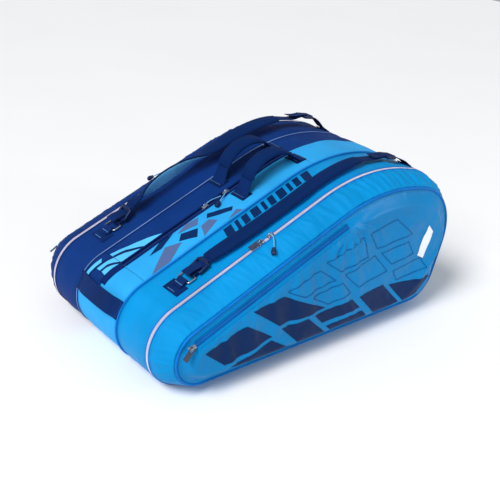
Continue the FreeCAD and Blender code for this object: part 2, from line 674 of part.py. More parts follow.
def rounded_route(points):
    """Straight runs between points, joined by the largest tangent arcs they leave room for."""
    edges = []
    start = points[0]
    for before, corner, after in zip(points, points[1:], points[2:]):
        back = before - corner
        ahead = after - corner
        turn = math.pi - back.getAngle(ahead)
        reach = 0.45 * min(back.Length, ahead.Length)
        arc_start = corner + Vector(back).normalize() * reach
        arc_end = corner + Vector(ahead).normalize() * reach
        bisector = (Vector(back).normalize() + Vector(ahead).normalize()).normalize()
        radius = reach / math.tan(turn / 2)
        middle = corner + bisector * (radius / math.cos(turn / 2) - radius)
        edges.append(Part.LineSegment(start, arc_start).toShape())
        edges.append(Part.Arc(arc_start, middle, arc_end).toShape())
        print("cord radius", round(radius, 1))
        start = arc_end
    edges.append(Part.LineSegment(start, points[-1]).toShape())
    return Part.Wire(edges)


def cord(points, node):
    """A thin round cord along a route."""
    path = rounded_route(points)
    radius = size("cord_radius")
    direction = (points[1] - points[0]).normalize()
    profile = Part.Wire([Part.Circle(points[0], direction, radius).toShape()])
    tube = path.makePipeShell([profile], True, True)
    expected = math.pi * radius ** 2 * path.Length
    print(node, "length", round(path.Length, 1), "volume share", round(tube.Volume / expected, 3))
    feature = doc.addObject("Part::Feature", node)
    feature.Shape = tube
    return keep(feature, node)


def cap(end, direction, node):
    """Moulded cap on the end of a cord."""
    body = plate(node + "_body", "sizes.cap_length", "sizes.cap_width", "sizes.cap_height",
                 round_edges="3")
    upright = SLOPE_TURN.multVec(Vector(0, 0, 1))
    turn = Rotation(direction, upright.cross(direction), upright, "XZY")
    local = Placement(Vector(size("cap_length") / 2, 0, -size("cap_height") / 2), Rotation())
    body.Placement = Placement(end, turn) * local
    return keep(body, node)


# ---------------------------------------------------------------- zipper fittings on each zipper
# Routes of the cords: distance up the slope, place across the bag, height off the fabric.
FRONT_CORD = [(236, -171.2, 7.8), (234.5, -181, 7.8), (227, -191, 4), (218, -199, 0)]
MIDDLE_CORD_LOW = [(221.2, 10, 7.8), (233, 11, 7.8), (245, 8.5, 6.6), (256, 5.5, 5.8)]
MIDDLE_CORD_HIGH = [(273, 8.8, 7.8), (267, 2.5, 8.4), (254, -3.5, 7.6), (242, -8, 7)]


def cord_points(route):
    """A route over the fabric as points in the bag's own frame."""
    return [on_slope(*stop) for stop in route]


def pocket_place():
    """Placement on the slanted rim of the front pocket, at the low end of its zipper."""
    slant = math.atan(1 / size("pocket_slant"))
    up_slope = SLOPE_TURN.multVec(Vector(1, 0, 0))
    up_normal = SLOPE_TURN.multVec(Vector(0, 0, 1))
    outward = up_normal * math.sin(slant) - Vector(0, math.cos(slant), 0)
    inset = size("pocket_coil_inset")
    depth = (inset - size("pocket_inset")) / size("pocket_slant")
    y = -size("panel_y") - size("panel_thickness") - depth
    point = SLOPE_START + SLOPE_TURN.multVec(Vector(size("pocket_slider_along"), y, -inset))
    rotation = Rotation(up_slope, outward.cross(up_slope), outward, "XYZ")
    return Placement(point + outward * size("slider_lift"), rotation)


def middle_fittings():
    """Two sliders on the middle zipper, a cord on each, and the cap on the upper cord."""
    y = size("middle_zip_y") - size("coil_width") / 2
    for level, route in (("low", MIDDLE_CORD_LOW), ("high", MIDDLE_CORD_HIGH)):
        along = size(f"middle_sliders_{level}")
        slider(slope_place(along, y, size("slider_lift")), f"middle_slider_{level}")
        cord(cord_points(route), f"middle_cord_{level}")
    points = cord_points(MIDDLE_CORD_HIGH)
    cap(points[-1], points[-1] - points[-2], "middle_cord_cap")


def front_fittings():
    """Two sliders on the front zipper, one with a link and one with a cord and cap."""
    y = -size("main_zip_y")
    low = slope_place(size("front_sliders_low"), y, size("slider_lift"))
    high = slope_place(size("front_sliders_high"), y, size("slider_lift"))
    points = cord_points(FRONT_CORD)
    return [slider(low, "front_slider_low"), slider(high, "front_slider_high"),
            link(low, 180, "front_link"), cord(points, "front_cord"),
            cap(points[-1], points[-1] - points[-2], "front_cord_cap"),
            slider(pocket_place(), "front_pocket_slider"),
            link(pocket_place(), 200, "front_pocket_link")]


# ---------------------------------------------------------------- the whole bag
inner_gussets()
seams_and_dividers()
middle_compartment()
grab_handle("front")
grab_handle("rear")
end_handle()
strap_anchors()
middle_fittings()
for piece in front_cover() + front_pocket() + front_fittings():
    mirrored(piece, piece.Label.replace("front_", "rear_"))
for shape, name in shoulder_strap("front"):
    keep(shape, f"front_{name}")
for shape, name in shoulder_strap("rear"):
    mirrored(shape, f"rear_{name}")
doc.recompute()

# ---------------------------------------------------------------- checks and export
for item in doc.Objects:
    if "Invalid" in item.State or "Error" in item.State:
        raise RuntimeError(f"{item.Name} failed: {item.State}")
for piece in parts:
    if piece.Shape.isNull() or not piece.Shape.isValid() or not piece.Shape.Solids:
        raise RuntimeError(f"{piece.Label} has no valid solid")
os.makedirs("parts", exist_ok=True)
for piece in parts:
    piece.Shape.exportStep(f"parts/{piece.Label}.step")
print("pieces", len(parts))
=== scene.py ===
"""Racket tournament bag: its cloth, straps, zippers and prints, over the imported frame.

Sizes below are in millimetres and become metres when a mesh is made.  A place on the bag's outside is
given as (along, across, lift): along runs up the sloping top from the narrow end, over the wide end and
back underneath; across is the frame's Y; lift is the height off the cloth.
"""
import bpy
import bmesh
import math
import numpy as np
from mathutils import Matrix, Vector, noise
from mathutils.bvhtree import BVHTree
from mathutils.geometry import delaunay_2d_cdt


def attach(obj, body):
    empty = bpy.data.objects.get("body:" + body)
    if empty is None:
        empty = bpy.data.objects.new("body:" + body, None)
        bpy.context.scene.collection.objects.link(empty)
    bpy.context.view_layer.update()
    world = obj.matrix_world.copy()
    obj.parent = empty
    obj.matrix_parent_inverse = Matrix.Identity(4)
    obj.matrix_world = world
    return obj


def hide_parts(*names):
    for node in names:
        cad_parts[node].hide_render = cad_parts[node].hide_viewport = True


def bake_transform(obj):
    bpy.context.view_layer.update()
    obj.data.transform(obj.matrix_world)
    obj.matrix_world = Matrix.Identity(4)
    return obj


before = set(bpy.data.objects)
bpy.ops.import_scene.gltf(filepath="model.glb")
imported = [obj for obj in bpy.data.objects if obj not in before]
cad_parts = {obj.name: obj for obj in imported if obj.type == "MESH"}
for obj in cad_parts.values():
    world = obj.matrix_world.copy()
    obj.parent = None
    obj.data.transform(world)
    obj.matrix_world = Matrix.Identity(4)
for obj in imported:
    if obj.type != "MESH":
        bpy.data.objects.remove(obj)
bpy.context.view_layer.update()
MM = 0.001

# ---------------------------------------------------------------- driving dimensions
# The side outline is a belt round four circles: centre x, centre z, radius.
HEEL = (-296, 84, 84)
CREST = (160, -48, 380)
WIDE_TOP = (235, 176, 145)
TOE = (268, 94, 94)
CIRCLES = [HEEL, CREST, WIDE_TOP, TOE]

# Across the bag: the end panels, the long zippers, the seams and the middle zipper.
PANEL_Y = 222
ZIP_Y = 170
FRONT_SEAM_Y = -68
REAR_SEAM_Y = 78
MIDDLE_ZIP_Y = 10
SEAM_HALF = 2.5
MIDDLE_TRIM = 6.5

# A zipper's half width, how far the long ones stop before the bottom, and the sliders' places along it.
ZIP_HALF = 4
ZIP_STOP = 45
SLIDER_ALONG = {"low": 212, "high": 236}
MIDDLE_SLIDER_ALONG = {"low": 218, "high": 273}

# The outer gusset narrows by the taper; the pocket is a dome with a slanted rim inside the panel.
TAPER = 22
RIM_INSET = 28.5
PIPING_INSET = 25.5
POCKET_DEPTH = 18
POCKET_RISE = 29
RIM_FLAT = 2.5
RIM_SLOPE = POCKET_DEPTH / (POCKET_RISE - 0.2)
POCKET_ZIP_INSET = 42
POCKET_ZIP_START = -18
POCKET_ZIP_END = 371

# The flaps' ends and the cloth's thickness.
FLAP_START = 12
FLAP_END = 448
CLOTH = 2.6

# Shoulder straps: place across, bow along the bag, lift and where pads and locks are.
STRAP_Y = 128
STRAP_BOW = {"front": 7, "rear": 0}
STRAP_LIFT = {"front": 12.5, "rear": 24.5}
PAD_LOW_X = -222
PAD_HIGH_X = 150
LOCK_X = 236
WEBBING_WIDTH = 24
BINDING_INSET = 0.4
STITCH_INSET = 6.5
PAD_RING = 28

# Handles: the middle of the two grab handles, their feet, and how far the end handle has come round.
HANDLE_ALONG = 361
HANDLE_FOOT = 74
END_HANDLE_RISE = 26
HANDLE_Y = {"front": -22, "rear": 54}

SIDEWAYS = np.array([0.0, 1.0, 0.0])
SIDES = (("front", -1), ("rear", 1))
EDGES = (("outer", -1), ("inner", 1))
COATED_SLOT = {"front": "coated_blue", "rear": "coated_navy"}


# ---------------------------------------------------------------- the outline
def belt_runs():
    """Straight runs and arcs of the outline in order, each with where it starts along the belt."""
    normals = []
    for i, (x, z, radius) in enumerate(CIRCLES):
        next_x, next_z, next_radius = CIRCLES[(i + 1) % 4]
        gap = math.hypot(next_x - x, next_z - z)
        ahead = np.array([next_x - x, next_z - z]) / gap
        left = np.array([-ahead[1], ahead[0]])
        shrink = (radius - next_radius) / gap
        normals.append(ahead * shrink + left * math.sqrt(1 - shrink ** 2))
    runs = []
    start = 0.0
    for i, (x, z, radius) in enumerate(CIRCLES):
        next_x, next_z, next_radius = CIRCLES[(i + 1) % 4]
        begin = np.array([x, z]) + radius * normals[i]
        end = np.array([next_x, next_z]) + next_radius * normals[i]
        length = np.linalg.norm(end - begin)
        runs.append(("line", start, length, begin, (end - begin) / length, normals[i]))
        start += length
        first = math.atan2(normals[i][1], normals[i][0])
        last = math.atan2(normals[(i + 1) % 4][1], normals[(i + 1) % 4][0])
        turn = (first - last) % (2 * math.pi)
        runs.append(("arc", start, turn * next_radius, np.array([next_x, next_z]), next_radius, first))
        start += turn * next_radius
    return runs, start


RUNS, AROUND = belt_runs()
BOTTOM_START = RUNS[6][1]
SLOPE_DIRECTION = Vector((RUNS[0][4][0], 0, RUNS[0][4][1]))
SLOPE_NORMAL = Vector((RUNS[0][5][0], 0, RUNS[0][5][1]))
SLOPE_FACES = math.atan2(SLOPE_NORMAL.z, SLOPE_NORMAL.x)
END_HANDLE_ALONG = AROUND - (math.radians(180 - END_HANDLE_RISE) - SLOPE_FACES) * HEEL[2]


def outline_at(along):
    """Points and outward normals of the outline, as x and z, at distances along it."""
    along = np.mod(np.asarray(along, float), AROUND)
    points = np.zeros(along.shape + (2,))
    normals = np.zeros(along.shape + (2,))
    for kind, start, length, base, step, normal in RUNS:
        here = (along >= start) & (along <= start + length)
        past = (along[here] - start)[..., None]
        if kind == "line":
            points[here] = base + step * past
            normals[here] = normal
        else:
            angle = normal - past / step
            direction = np.concatenate([np.cos(angle), np.sin(angle)], axis=-1)
            points[here] = base + step * direction
            normals[here] = direction
    return points, normals


def place(along, across, lift):
    """Points on or over the bag's outside, in millimetres."""
    along, across, lift = np.broadcast_arrays(*(np.asarray(a, float) for a in (along, across, lift)))
    points, normals = outline_at(along)
    flat = points + normals * lift[..., None]
    return np.stack([flat[..., 0], across, flat[..., 1]], axis=-1)


def outward(along):
    """Outward normals of the bag's side outline as vectors in space."""
    _, normals = outline_at(along)
    return np.stack([normals[..., 0], np.zeros(normals.shape[:-1]), normals[..., 1]], axis=-1)


def along_at(x):
    """Distance along the outline of a place on the bag's top, from its x."""
    table = np.linspace(0, RUNS[5][1], 900)
    points, _ = outline_at(table)
    return float(np.interp(x, points[:, 0], table))


def along_on_wide_top(degrees):
    """Distance along the outline where the wide end's rounding faces a direction."""
    _, start, _, _, radius, first = RUNS[3]
    return start + (first - math.radians(degrees)) * radius


def unit(vectors):
    """Vectors in rows, each scaled to length one."""
    return vectors / np.linalg.norm(vectors, axis=1)[:, None]


def directions(path):
    """Directions ahead along a path, across the bag, and at right angles to both."""
    ahead = unit(np.gradient(path, axis=0))
    level = np.tile(SIDEWAYS, (len(path), 1))
    return ahead, level, np.cross(ahead, level)


def spread(start, end, step):
    """Evenly spaced stations from start to end, about a step apart."""
    return np.linspace(start, end, max(2, int(round(abs(end - start) / step)) + 1))


def smooth(value, low, high):
    """Zero below low, one above high, and a soft ramp between."""
    share = np.clip((np.asarray(value, float) - low) / (high - low), 0, 1)
    return share * share * (3 - 2 * share)


def ripple(along, across, length, width, seed):
    """Soft random waves, longer one way than the other, between about -0.5 and 0.5."""
    along, across = np.broadcast_arrays(np.asarray(along, float), np.asarray(across, float))
    values = [noise.noise(Vector((a / length, b / width, seed))) for a, b in zip(along.flat, across.flat)]
    return np.array(values).reshape(along.shape)


# ---------------------------------------------------------------- mesh making
def make(name, vertices, faces, materials, uvs=None, picks=None):
    """A smooth mesh object from points in millimetres, faces, materials and the faces' UV corners."""
    mesh = bpy.data.meshes.new(name)
    mesh.from_pydata([tuple(v) for v in np.asarray(vertices, float) * MM], [], faces)
    for material in materials:
        mesh.materials.append(material)
    if uvs is not None:
        layer = mesh.uv_layers.new(name="lengths")
        layer.data.foreach_set("uv", (np.asarray(uvs, float) * MM).ravel())
    if picks is not None:
        mesh.polygons.foreach_set("material_index", np.asarray(picks, int))
    mesh.polygons.foreach_set("use_smooth", [True] * len(mesh.polygons))
    mesh.update()
    obj = bpy.data.objects.new(name, mesh)
    bpy.context.scene.collection.objects.link(obj)
    return obj


def surface(name, points, lengths, widths, materials, closed=False, pick=None):
    """A sheet through a grid of points; lengths and widths are its own measures, used as UV."""
    count, rows = points.shape[:2]
    spans = count if closed else count - 1
    faces = []
    uvs = []
    picks = []
    for i in range(spans):
        ahead = (i + 1) % count
        for j in range(rows - 1):
            faces.append((i * rows + j, ahead * rows + j, ahead * rows + j + 1, i * rows + j + 1))
            uvs += [(lengths[i], widths[j]), (lengths[i + 1], widths[j]),
                    (lengths[i + 1], widths[j + 1]), (lengths[i], widths[j + 1])]
            picks.append(pick(lengths[i], (widths[j] + widths[j + 1]) / 2) if pick else 0)
    return make(name, points.reshape(-1, 3), faces, materials, uvs, picks)


def bake(obj):
    """Apply an object's modifiers."""
    depsgraph = bpy.context.evaluated_depsgraph_get()
    mesh = bpy.data.meshes.new_from_object(obj.evaluated_get(depsgraph))
    obj.modifiers.clear()
    obj.data = mesh
    return obj


def thicken(obj, thickness, lining=0):
    """Give a sheet its thickness inwards; lining is how many slots on the inner face's material is."""
    solid = obj.modifiers.new("thickness", "SOLIDIFY")
    solid.thickness = thickness * MM
    solid.offset = -1
    solid.material_offset = lining
    return bake(obj)


def band(name, start, end, low, high, lift, materials, closed=False, pick=None, step=4.0, thickness=CLOTH,
         lining=0):
    """A strip of cloth over the bag's outside: lift(along, across) is its height off the outline."""
    lengths = spread(start, end, step)
    stations = lengths[:-1] if closed else lengths
    widths = spread(low, high, step)
    grid_along, grid_across = np.meshgrid(stations, widths, indexing="ij")
    points = place(grid_along, grid_across, lift(grid_along, grid_across))
    points[..., 2] = np.maximum(points[..., 2], 0)
    obj = surface(name, points, lengths, widths, materials, closed, pick)
    return thicken(obj, thickness, lining) if thickness else obj


def sweep(name, path, sides, ups, sections, material, closed=False, capped=True):
    """A solid swept along a path; sections gives each station's outline as (side, up) pairs."""
    count = len(path)
    ring = len(sections[0])
    vertices = []
    for i in range(count):
        for side, up in sections[i]:
            vertices.append(path[i] + sides[i] * side + ups[i] * up)
    travelled = [0.0]
    for i in range(count):
        travelled.append(travelled[-1] + float(np.linalg.norm(path[(i + 1) % count] - path[i])))
    girth = [0.0]
    for k in range(ring):
        here = np.array(sections[count // 2][k])
        girth.append(girth[-1] + float(np.linalg.norm(np.array(sections[count // 2][(k + 1) % ring]) - here)))
    faces = []
    uvs = []
    for i in range(count if closed else count - 1):
        ahead = (i + 1) % count
        for k in range(ring):
            after = (k + 1) % ring
            faces.append((i * ring + k, ahead * ring + k, ahead * ring + after, i * ring + after))
            uvs += [(travelled[i], girth[k]), (travelled[i + 1], girth[k]),
                    (travelled[i + 1], girth[k + 1]), (travelled[i], girth[k + 1])]
    if capped and not closed:
        faces.append(tuple(range(ring)))
        faces.append(tuple(reversed(range((count - 1) * ring, count * ring))))
        uvs += [tuple(sections[0][k]) for k in range(ring)]
        uvs += [tuple(sections[-1][k]) for k in reversed(range(ring))]
    return make(name, vertices, faces, [material], uvs)


def flat_section(width, thickness, corner=0.35, points=20):
    """A rounded flat outline, as of webbing or a pad, lying on side and up."""
    outline = []
    for k in range(points):
        angle = 2 * math.pi * k / points
        side = math.copysign(abs(math.cos(angle)) ** corner, math.cos(angle)) * width / 2
        up = math.copysign(abs(math.sin(angle)) ** (corner * 1.6), math.sin(angle)) * thickness / 2
        outline.append((side, up))
    return outline


def round_section(radius, points=10):
    """A circle as an outline."""
    turns = [2 * math.pi * k / points for k in range(points)]
    return [(radius * math.cos(turn), radius * math.sin(turn)) for turn in turns]


def tube(name, path, radius, material, closed=False, sides=10):
    """A round tube along points, with frames that don't twist."""
    path = np.asarray(path, float)
    ahead = unit(np.roll(path, -1, axis=0) - path if closed else np.gradient(path, axis=0))
    across = np.tile(SIDEWAYS, (len(path), 1))
    across -= ahead * np.sum(across * ahead, axis=1)[:, None]
    across /= np.maximum(np.linalg.norm(across, axis=1), 1e-6)[:, None]
    ups = np.cross(ahead, across)
    return sweep(name, path, across, ups, [round_section(radius, sides)] * len(path), material, closed)


def rounded_line(stops):
    """A smooth line through a few stops, each a point of any size, by Catmull-Rom spans."""
    stops = np.asarray(stops, float)
    padded = np.concatenate([[2 * stops[0] - stops[1]], stops, [2 * stops[-1] - stops[-2]]])
    fine = []
    for i in range(1, len(padded) - 2):
        before, start, end, after = padded[i - 1:i + 3]
        for share in np.linspace(0, 1, 12, endpoint=False):
            fine.append(0.5 * (2 * start + (end - before) * share
                               + (2 * before - 5 * start + 4 * end - after) * share ** 2
                               + (3 * start - before - 3 * end + after) * share ** 3))
    fine.append(stops[-1])
    return np.array(fine)


def stitches(name, path, ups, material, pitch=3.6, length=2.4, radius=0.38):
    """A row of raised thread stitches lying along a line on cloth."""
    path = np.asarray(path, float)
    gaps = np.linalg.norm(np.diff(path, axis=0), axis=1)
    travelled = np.concatenate([[0], np.cumsum(gaps)])
    count = max(1, int(travelled[-1] / pitch))
    vertices = []
    faces = []
    for i in range(count):
        ends = (i * pitch + (pitch - length) / 2, i * pitch + (pitch + length) / 2)
        tips = [np.array([np.interp(e, travelled, path[:, k]) for k in range(3)]) for e in ends]
        up = np.array([np.interp(ends[0], travelled, ups[:, k]) for k in range(3)])
        run = tips[1] - tips[0]
        side = np.cross(run, up)
        side /= max(np.linalg.norm(side), 1e-9)
        middle = (tips[0] + tips[1]) / 2
        base = len(vertices)
        vertices += [tips[0], middle + side * radius, middle + up * radius, middle - side * radius,
                     middle - up * radius, tips[1]]
        for k in range(4):
            around = 1 + (k + 1) % 4
            faces.append((base, base + 1 + k, base + around))
            faces.append((base + 5, base + around, base + 1 + k))
    return make(name, vertices, faces, [material])


def settle(obj, body=None, nodes=()):
    """Attach a piece to the body it rides on and hide the CAD nodes that it replaces."""
    if nodes:
        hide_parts(*nodes)
    if body:
        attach(obj, body)


def joined(name, objects):
    """Several meshes made one."""
    target = objects[0]
    mesh_builder = bmesh.new()
    materials = []
    for obj in objects:
        first = len(mesh_builder.faces)
        offset = {}
        for index, material in enumerate(obj.data.materials):
            if material not in materials:
                materials.append(material)
            offset[index] = materials.index(material)
        mesh_builder.from_mesh(obj.data)
        mesh_builder.faces.ensure_lookup_table()
        for face in mesh_builder.faces[first:]:
            face.material_index = offset.get(face.material_index, 0)
    mesh = bpy.data.meshes.new(name)
    mesh_builder.to_mesh(mesh)
    mesh_builder.free()
    for material in materials:
        mesh.materials.append(material)
    for obj in objects[1:]:
        bpy.data.objects.remove(obj)
    target.data = mesh
    target.name = name
    return target


# ---------------------------------------------------------------- materials
def linear(red, green, blue):
    """A colour given as 0-255 screen values, as the shaders want it."""
    channels = [channel / 255 for channel in (red, green, blue)]
    return tuple(c / 12.92 if c <= 0.04045 else ((c + 0.055) / 1.055) ** 2.4 for c in channels) + (1.0,)


CLOTH_SHEEN = 0.01
CLOTH_GLOSS = 0.07


class Shader:
    """A node material: Principled surface plus the few nodes that the finishes below share."""

    def __init__(self, name, roughness, coordinates="UV"):
        self.material = bpy.data.materials.new(name)
        self.material.use_nodes = True
        self.nodes = self.material.node_tree.nodes
        self.links = self.material.node_tree.links
        self.surface = self.nodes["Principled BSDF"]
        self.surface.inputs["Roughness"].default_value = roughness
        self.place = self.nodes.new("ShaderNodeTexCoord").outputs[coordinates]
        self.solid_place = self.nodes.new("ShaderNodeTexCoord").outputs["Object"]

    def math(self, operation, first, second=None):
        node = self.nodes.new("ShaderNodeMath")
        node.operation = operation
        for socket, value in zip(node.inputs, (first, second)):
            if value is None:
                continue
            if isinstance(value, (int, float)):
                socket.default_value = value
            else:
                self.links.new(value, socket)
        return node.outputs[0]

    def noise(self, scale, detail):
        node = self.nodes.new("ShaderNodeTexNoise")
        node.inputs["Scale"].default_value = scale
        node.inputs["Detail"].default_value = detail
        self.links.new(self.solid_place, node.inputs["Vector"])
        return node.outputs["Fac"]

    def ramp(self, value, stops):
        node = self.nodes.new("ShaderNodeValToRGB")
        node.color_ramp.elements[0].position = stops[0][0]
        node.color_ramp.elements[0].color = stops[0][1]
        node.color_ramp.elements[1].position = stops[-1][0]
        node.color_ramp.elements[1].color = stops[-1][1]
        for position, colour in stops[1:-1]:
            node.color_ramp.elements.new(position).color = colour
        self.links.new(value, node.inputs["Fac"])
        return node.outputs["Color"]

    def weave(self, warp, weft):
        """Height of a plain weave with the given thread spacings in millimetres."""
        node = self.nodes.new("ShaderNodeSeparateXYZ")
        self.links.new(self.place, node.inputs[0])
        threads = []
        for output, spacing in zip(node.outputs[:2], (warp, weft)):
            threads.append(self.math("SINE", self.math("MULTIPLY", output, 2 * math.pi / (spacing * MM))))
        return self.math("MULTIPLY", threads[0], threads[1])

    def bump(self, height, distance, strength=1.0, over=None):
        node = self.nodes.new("ShaderNodeBump")
        node.inputs["Distance"].default_value = distance * MM
        node.inputs["Strength"].default_value = strength
        self.links.new(height, node.inputs["Height"])
        if over is not None:
            self.links.new(over, node.inputs["Normal"])
        return node.outputs["Normal"]

    def finish(self, colour, normal=None, roughness=None):
        self.links.new(colour, self.surface.inputs["Base Color"])
        if normal is not None:
            self.links.new(normal, self.surface.inputs["Normal"])
        if roughness is not None:
            self.links.new(roughness, self.surface.inputs["Roughness"])
        return self.material


def shades(colour, darker, lighter):
    """Three stops of one colour: darker, itself, lighter."""
    dark = tuple(c * darker for c in colour[:3]) + (1.0,)
    light = tuple(min(1.0, c * lighter) for c in colour[:3]) + (1.0,)
    return [(0.25, dark), (0.5, colour), (0.78, light)]


def woven(name, colour, warp=1.1, weft=1.1, depth=0.12, roughness=0.62, coordinates="UV"):
    """Woven polyester: thread relief, faint shade changes, scuffed roughness."""
    shader = Shader(name, roughness, coordinates)
    shader.surface.inputs["Sheen Weight"].default_value = CLOTH_SHEEN
    shader.surface.inputs["Sheen Roughness"].default_value = 0.4
    shader.surface.inputs["Specular IOR Level"].default_value = 0.06
    cloud = shader.noise(9, 4)
    threads = shader.weave(warp, weft)
    mixed = shader.math("ADD", cloud, shader.math("MULTIPLY", threads, 0.05))
    colours = shader.ramp(mixed, shades(colour, 0.86, 1.12))
    rough = shader.math("ADD", shader.math("MULTIPLY", shader.noise(45, 3), 0.22), roughness - 0.1)
    creased = shader.bump(shader.noise(38, 3), 1.2, 0.35)
    return shader.finish(colours, shader.bump(threads, depth, 0.7, creased), rough)


def coated(name, colour, roughness=0.3, coat=0.07):
    """Film-coated cloth: glossy, with the weave showing faintly through and fine wrinkles."""
    shader = Shader(name, roughness)
    shader.surface.inputs["Coat Weight"].default_value = coat
    shader.surface.inputs["Coat Roughness"].default_value = 0.2
    shader.surface.inputs["Specular IOR Level"].default_value = CLOTH_GLOSS
    cloud = shader.noise(6, 4)
    colours = shader.ramp(cloud, shades(colour, 0.9, 1.1))
    rough = shader.math("ADD", shader.math("MULTIPLY", shader.noise(28, 4), 0.2), roughness - 0.08)
    wrinkled = shader.bump(shader.noise(26, 5), 2.2, 0.35)
    return shader.finish(colours, shader.bump(shader.weave(0.9, 0.9), 0.05, 0.5, wrinkled), rough)


def ribbed(name, colour, rib=1.7, depth=0.3, roughness=0.6):
    """Webbing or tape: heavy ribs across its length."""
    shader = Shader(name, roughness)
    shader.surface.inputs["Sheen Weight"].default_value = CLOTH_SHEEN
    shader.surface.inputs["Specular IOR Level"].default_value = CLOTH_GLOSS
    threads = shader.weave(rib, rib * 1.6)
    colours = shader.ramp(shader.math("ADD", shader.noise(20, 3), shader.math("MULTIPLY", threads, 0.12)),
                          shades(colour, 0.75, 1.25))
    return shader.finish(colours, shader.bump(threads, depth, 0.9))


def moulded(name, colour, roughness=0.42):
    """Moulded plastic: a fine grain and slight handling marks."""
    shader = Shader(name, roughness, "Object")
    shader.surface.inputs["Specular IOR Level"].default_value = 0.3
    colours = shader.ramp(shader.noise(60, 3), shades(colour, 0.85, 1.2))
    rough = shader.math("ADD", shader.math("MULTIPLY", shader.noise(140, 4), 0.25), roughness - 0.1)
    return shader.finish(colours, shader.bump(shader.noise(1800, 2), 0.04, 0.5), rough)


def cast_metal(name, colour, roughness=0.28):
    """Polished cast metal with soft scratches."""
    shader = Shader(name, roughness, "Object")
    shader.surface.inputs["Metallic"].default_value = 1.0
    colours = shader.ramp(shader.noise(90, 3), shades(colour, 0.7, 1.15))
    rough = shader.math("ADD", shader.math("MULTIPLY", shader.noise(400, 4), 0.3), roughness - 0.1)
    return shader.finish(colours, shader.bump(shader.noise(700, 3), 0.03, 0.5), rough)


def spacer_mesh(name, colour):
    """Knitted spacer mesh, as on a strap's underside: rows of small open cells, each darkened towards its
    middle as painted shade in the hole.
    """
    shader = Shader(name, 0.75)
    cells = shader.nodes.new("ShaderNodeTexVoronoi")
    cells.inputs["Scale"].default_value = 420
    shader.links.new(shader.place, cells.inputs["Vector"])
    depth = cells.outputs["Distance"]
    # painted shade: the hollow middle of every cell is darkened to 0.35 of the mesh colour, as if shade fell
    # into the holes
    dark = tuple(c * 0.35 for c in colour[:3]) + (1.0,)
    colours = shader.ramp(depth, [(0.05, dark), (0.45, colour), (0.9, colour)])
    return shader.finish(colours, shader.bump(depth, 0.6, 0.8))


def floor_paint(name):
    """Matt pale studio floor."""
    shader = Shader(name, 0.9, "Object")
    pale = (0.93, 0.93, 0.935, 1.0)
    return shader.finish(shader.ramp(shader.noise(2, 2), shades(pale, 0.99, 1.01)))


LIGHT_BLUE = woven("light_blue_cloth", linear(44, 162, 228), roughness=0.5)
MID_BLUE = woven("mid_blue_cloth", linear(4, 140, 206), roughness=0.38)
NAVY = woven("navy_cloth", linear(10, 50, 116))
DEEP_NAVY = woven("deep_navy_cloth", linear(4, 34, 94))
LINING = woven("lining_cloth", linear(44, 50, 66), warp=1.8, weft=1.8, roughness=0.8)
PANEL_BLUE = coated("coated_blue_cloth", linear(0, 126, 190))
PANEL_NAVY = coated("coated_navy_cloth", linear(8, 42, 104))
PRINT_NAVY = coated("navy_print", linear(2, 38, 86), roughness=0.42, coat=0.05)
PRINT_LINE = coated("thin_line_print", linear(2, 78, 146), roughness=0.42, coat=0.05)
PRINT_PALE = coated("pale_print", linear(84, 186, 246), roughness=0.5, coat=0.03)
PRINT_GREY = coated("grey_print", linear(78, 100, 146), roughness=0.5, coat=0.03)
PRINT_WHITE = coated("white_print", linear(236, 242, 248), roughness=0.4, coat=0.1)
PIPING_BLUE = ribbed("blue_piping", linear(4, 112, 196), rib=0.9, depth=0.12, roughness=0.34)
PIPING_PALE = ribbed("pale_piping", linear(112, 140, 190), rib=0.9, depth=0.12, roughness=0.4)
TAPE_WHITE = ribbed("white_zip_tape", linear(164, 162, 186), rib=0.8, depth=0.1)
TAPE_NAVY = ribbed("navy_zip_tape", linear(8, 38, 98), rib=0.8, depth=0.1)
TAPE_BLUE = ribbed("blue_zip_tape", linear(2, 86, 158), rib=0.8, depth=0.1)
COIL_WHITE = moulded("white_zip_coil", linear(200, 196, 210))
COIL_NAVY = moulded("navy_zip_coil", linear(10, 40, 100))
COIL_BLUE = moulded("blue_zip_coil", linear(2, 100, 178))
WEBBING = ribbed("navy_webbing", linear(4, 38, 94))
PAD_CLOTH = woven("strap_cloth", linear(2, 36, 88), warp=1.3, weft=1.3, depth=0.2, roughness=0.66)
PAD_MESH = spacer_mesh("strap_mesh", linear(112, 200, 248))
BINDING = ribbed("edge_binding", linear(4, 32, 82), rib=1.1, depth=0.2)
HARD_BLACK = moulded("dark_plastic", linear(6, 30, 74), roughness=0.34)
METAL = cast_metal("slider_metal", linear(176, 182, 194))
DARK_METAL = cast_metal("pull_metal", linear(104, 112, 132), roughness=0.32)
CORD_BLUE = ribbed("pale_cord", linear(120, 190, 240), rib=1.0, depth=0.3)
CAP_NAVY = moulded("cap_plastic", linear(6, 26, 70), roughness=0.5)
THREAD_BLUE = moulded("blue_thread", linear(20, 110, 196), roughness=0.6)
THREAD_PALE = moulded("pale_thread", linear(110, 180, 232), roughness=0.6)
THREAD_NAVY = moulded("navy_thread", linear(16, 60, 130), roughness=0.6)

OUTER_CLOTH = {"front": MID_BLUE, "rear": NAVY}
ROLL_CLOTH = {"front": PIPING_BLUE, "rear": DEEP_NAVY}
POCKET_CLOTH = {"front": PANEL_BLUE, "rear": PANEL_NAVY}
POCKET_ZIP = {"front": (TAPE_BLUE, COIL_BLUE), "rear": (TAPE_NAVY, COIL_NAVY)}
POCKET_PRINTS = {"front": (PRINT_NAVY, PRINT_LINE, PRINT_WHITE), "rear": (PRINT_LINE, PRINT_LINE, PRINT_PALE)}
SEAM_THREAD = {"front": THREAD_BLUE, "rear": THREAD_NAVY}


# ---------------------------------------------------------------- cloth of the body
def slope_measure(along):
    """Distance along the outline counted from the slope's foot, negative on the narrow end."""
    along = np.mod(np.asarray(along, float), AROUND)
    return np.where(along > BOTTOM_START, along - AROUND, along)


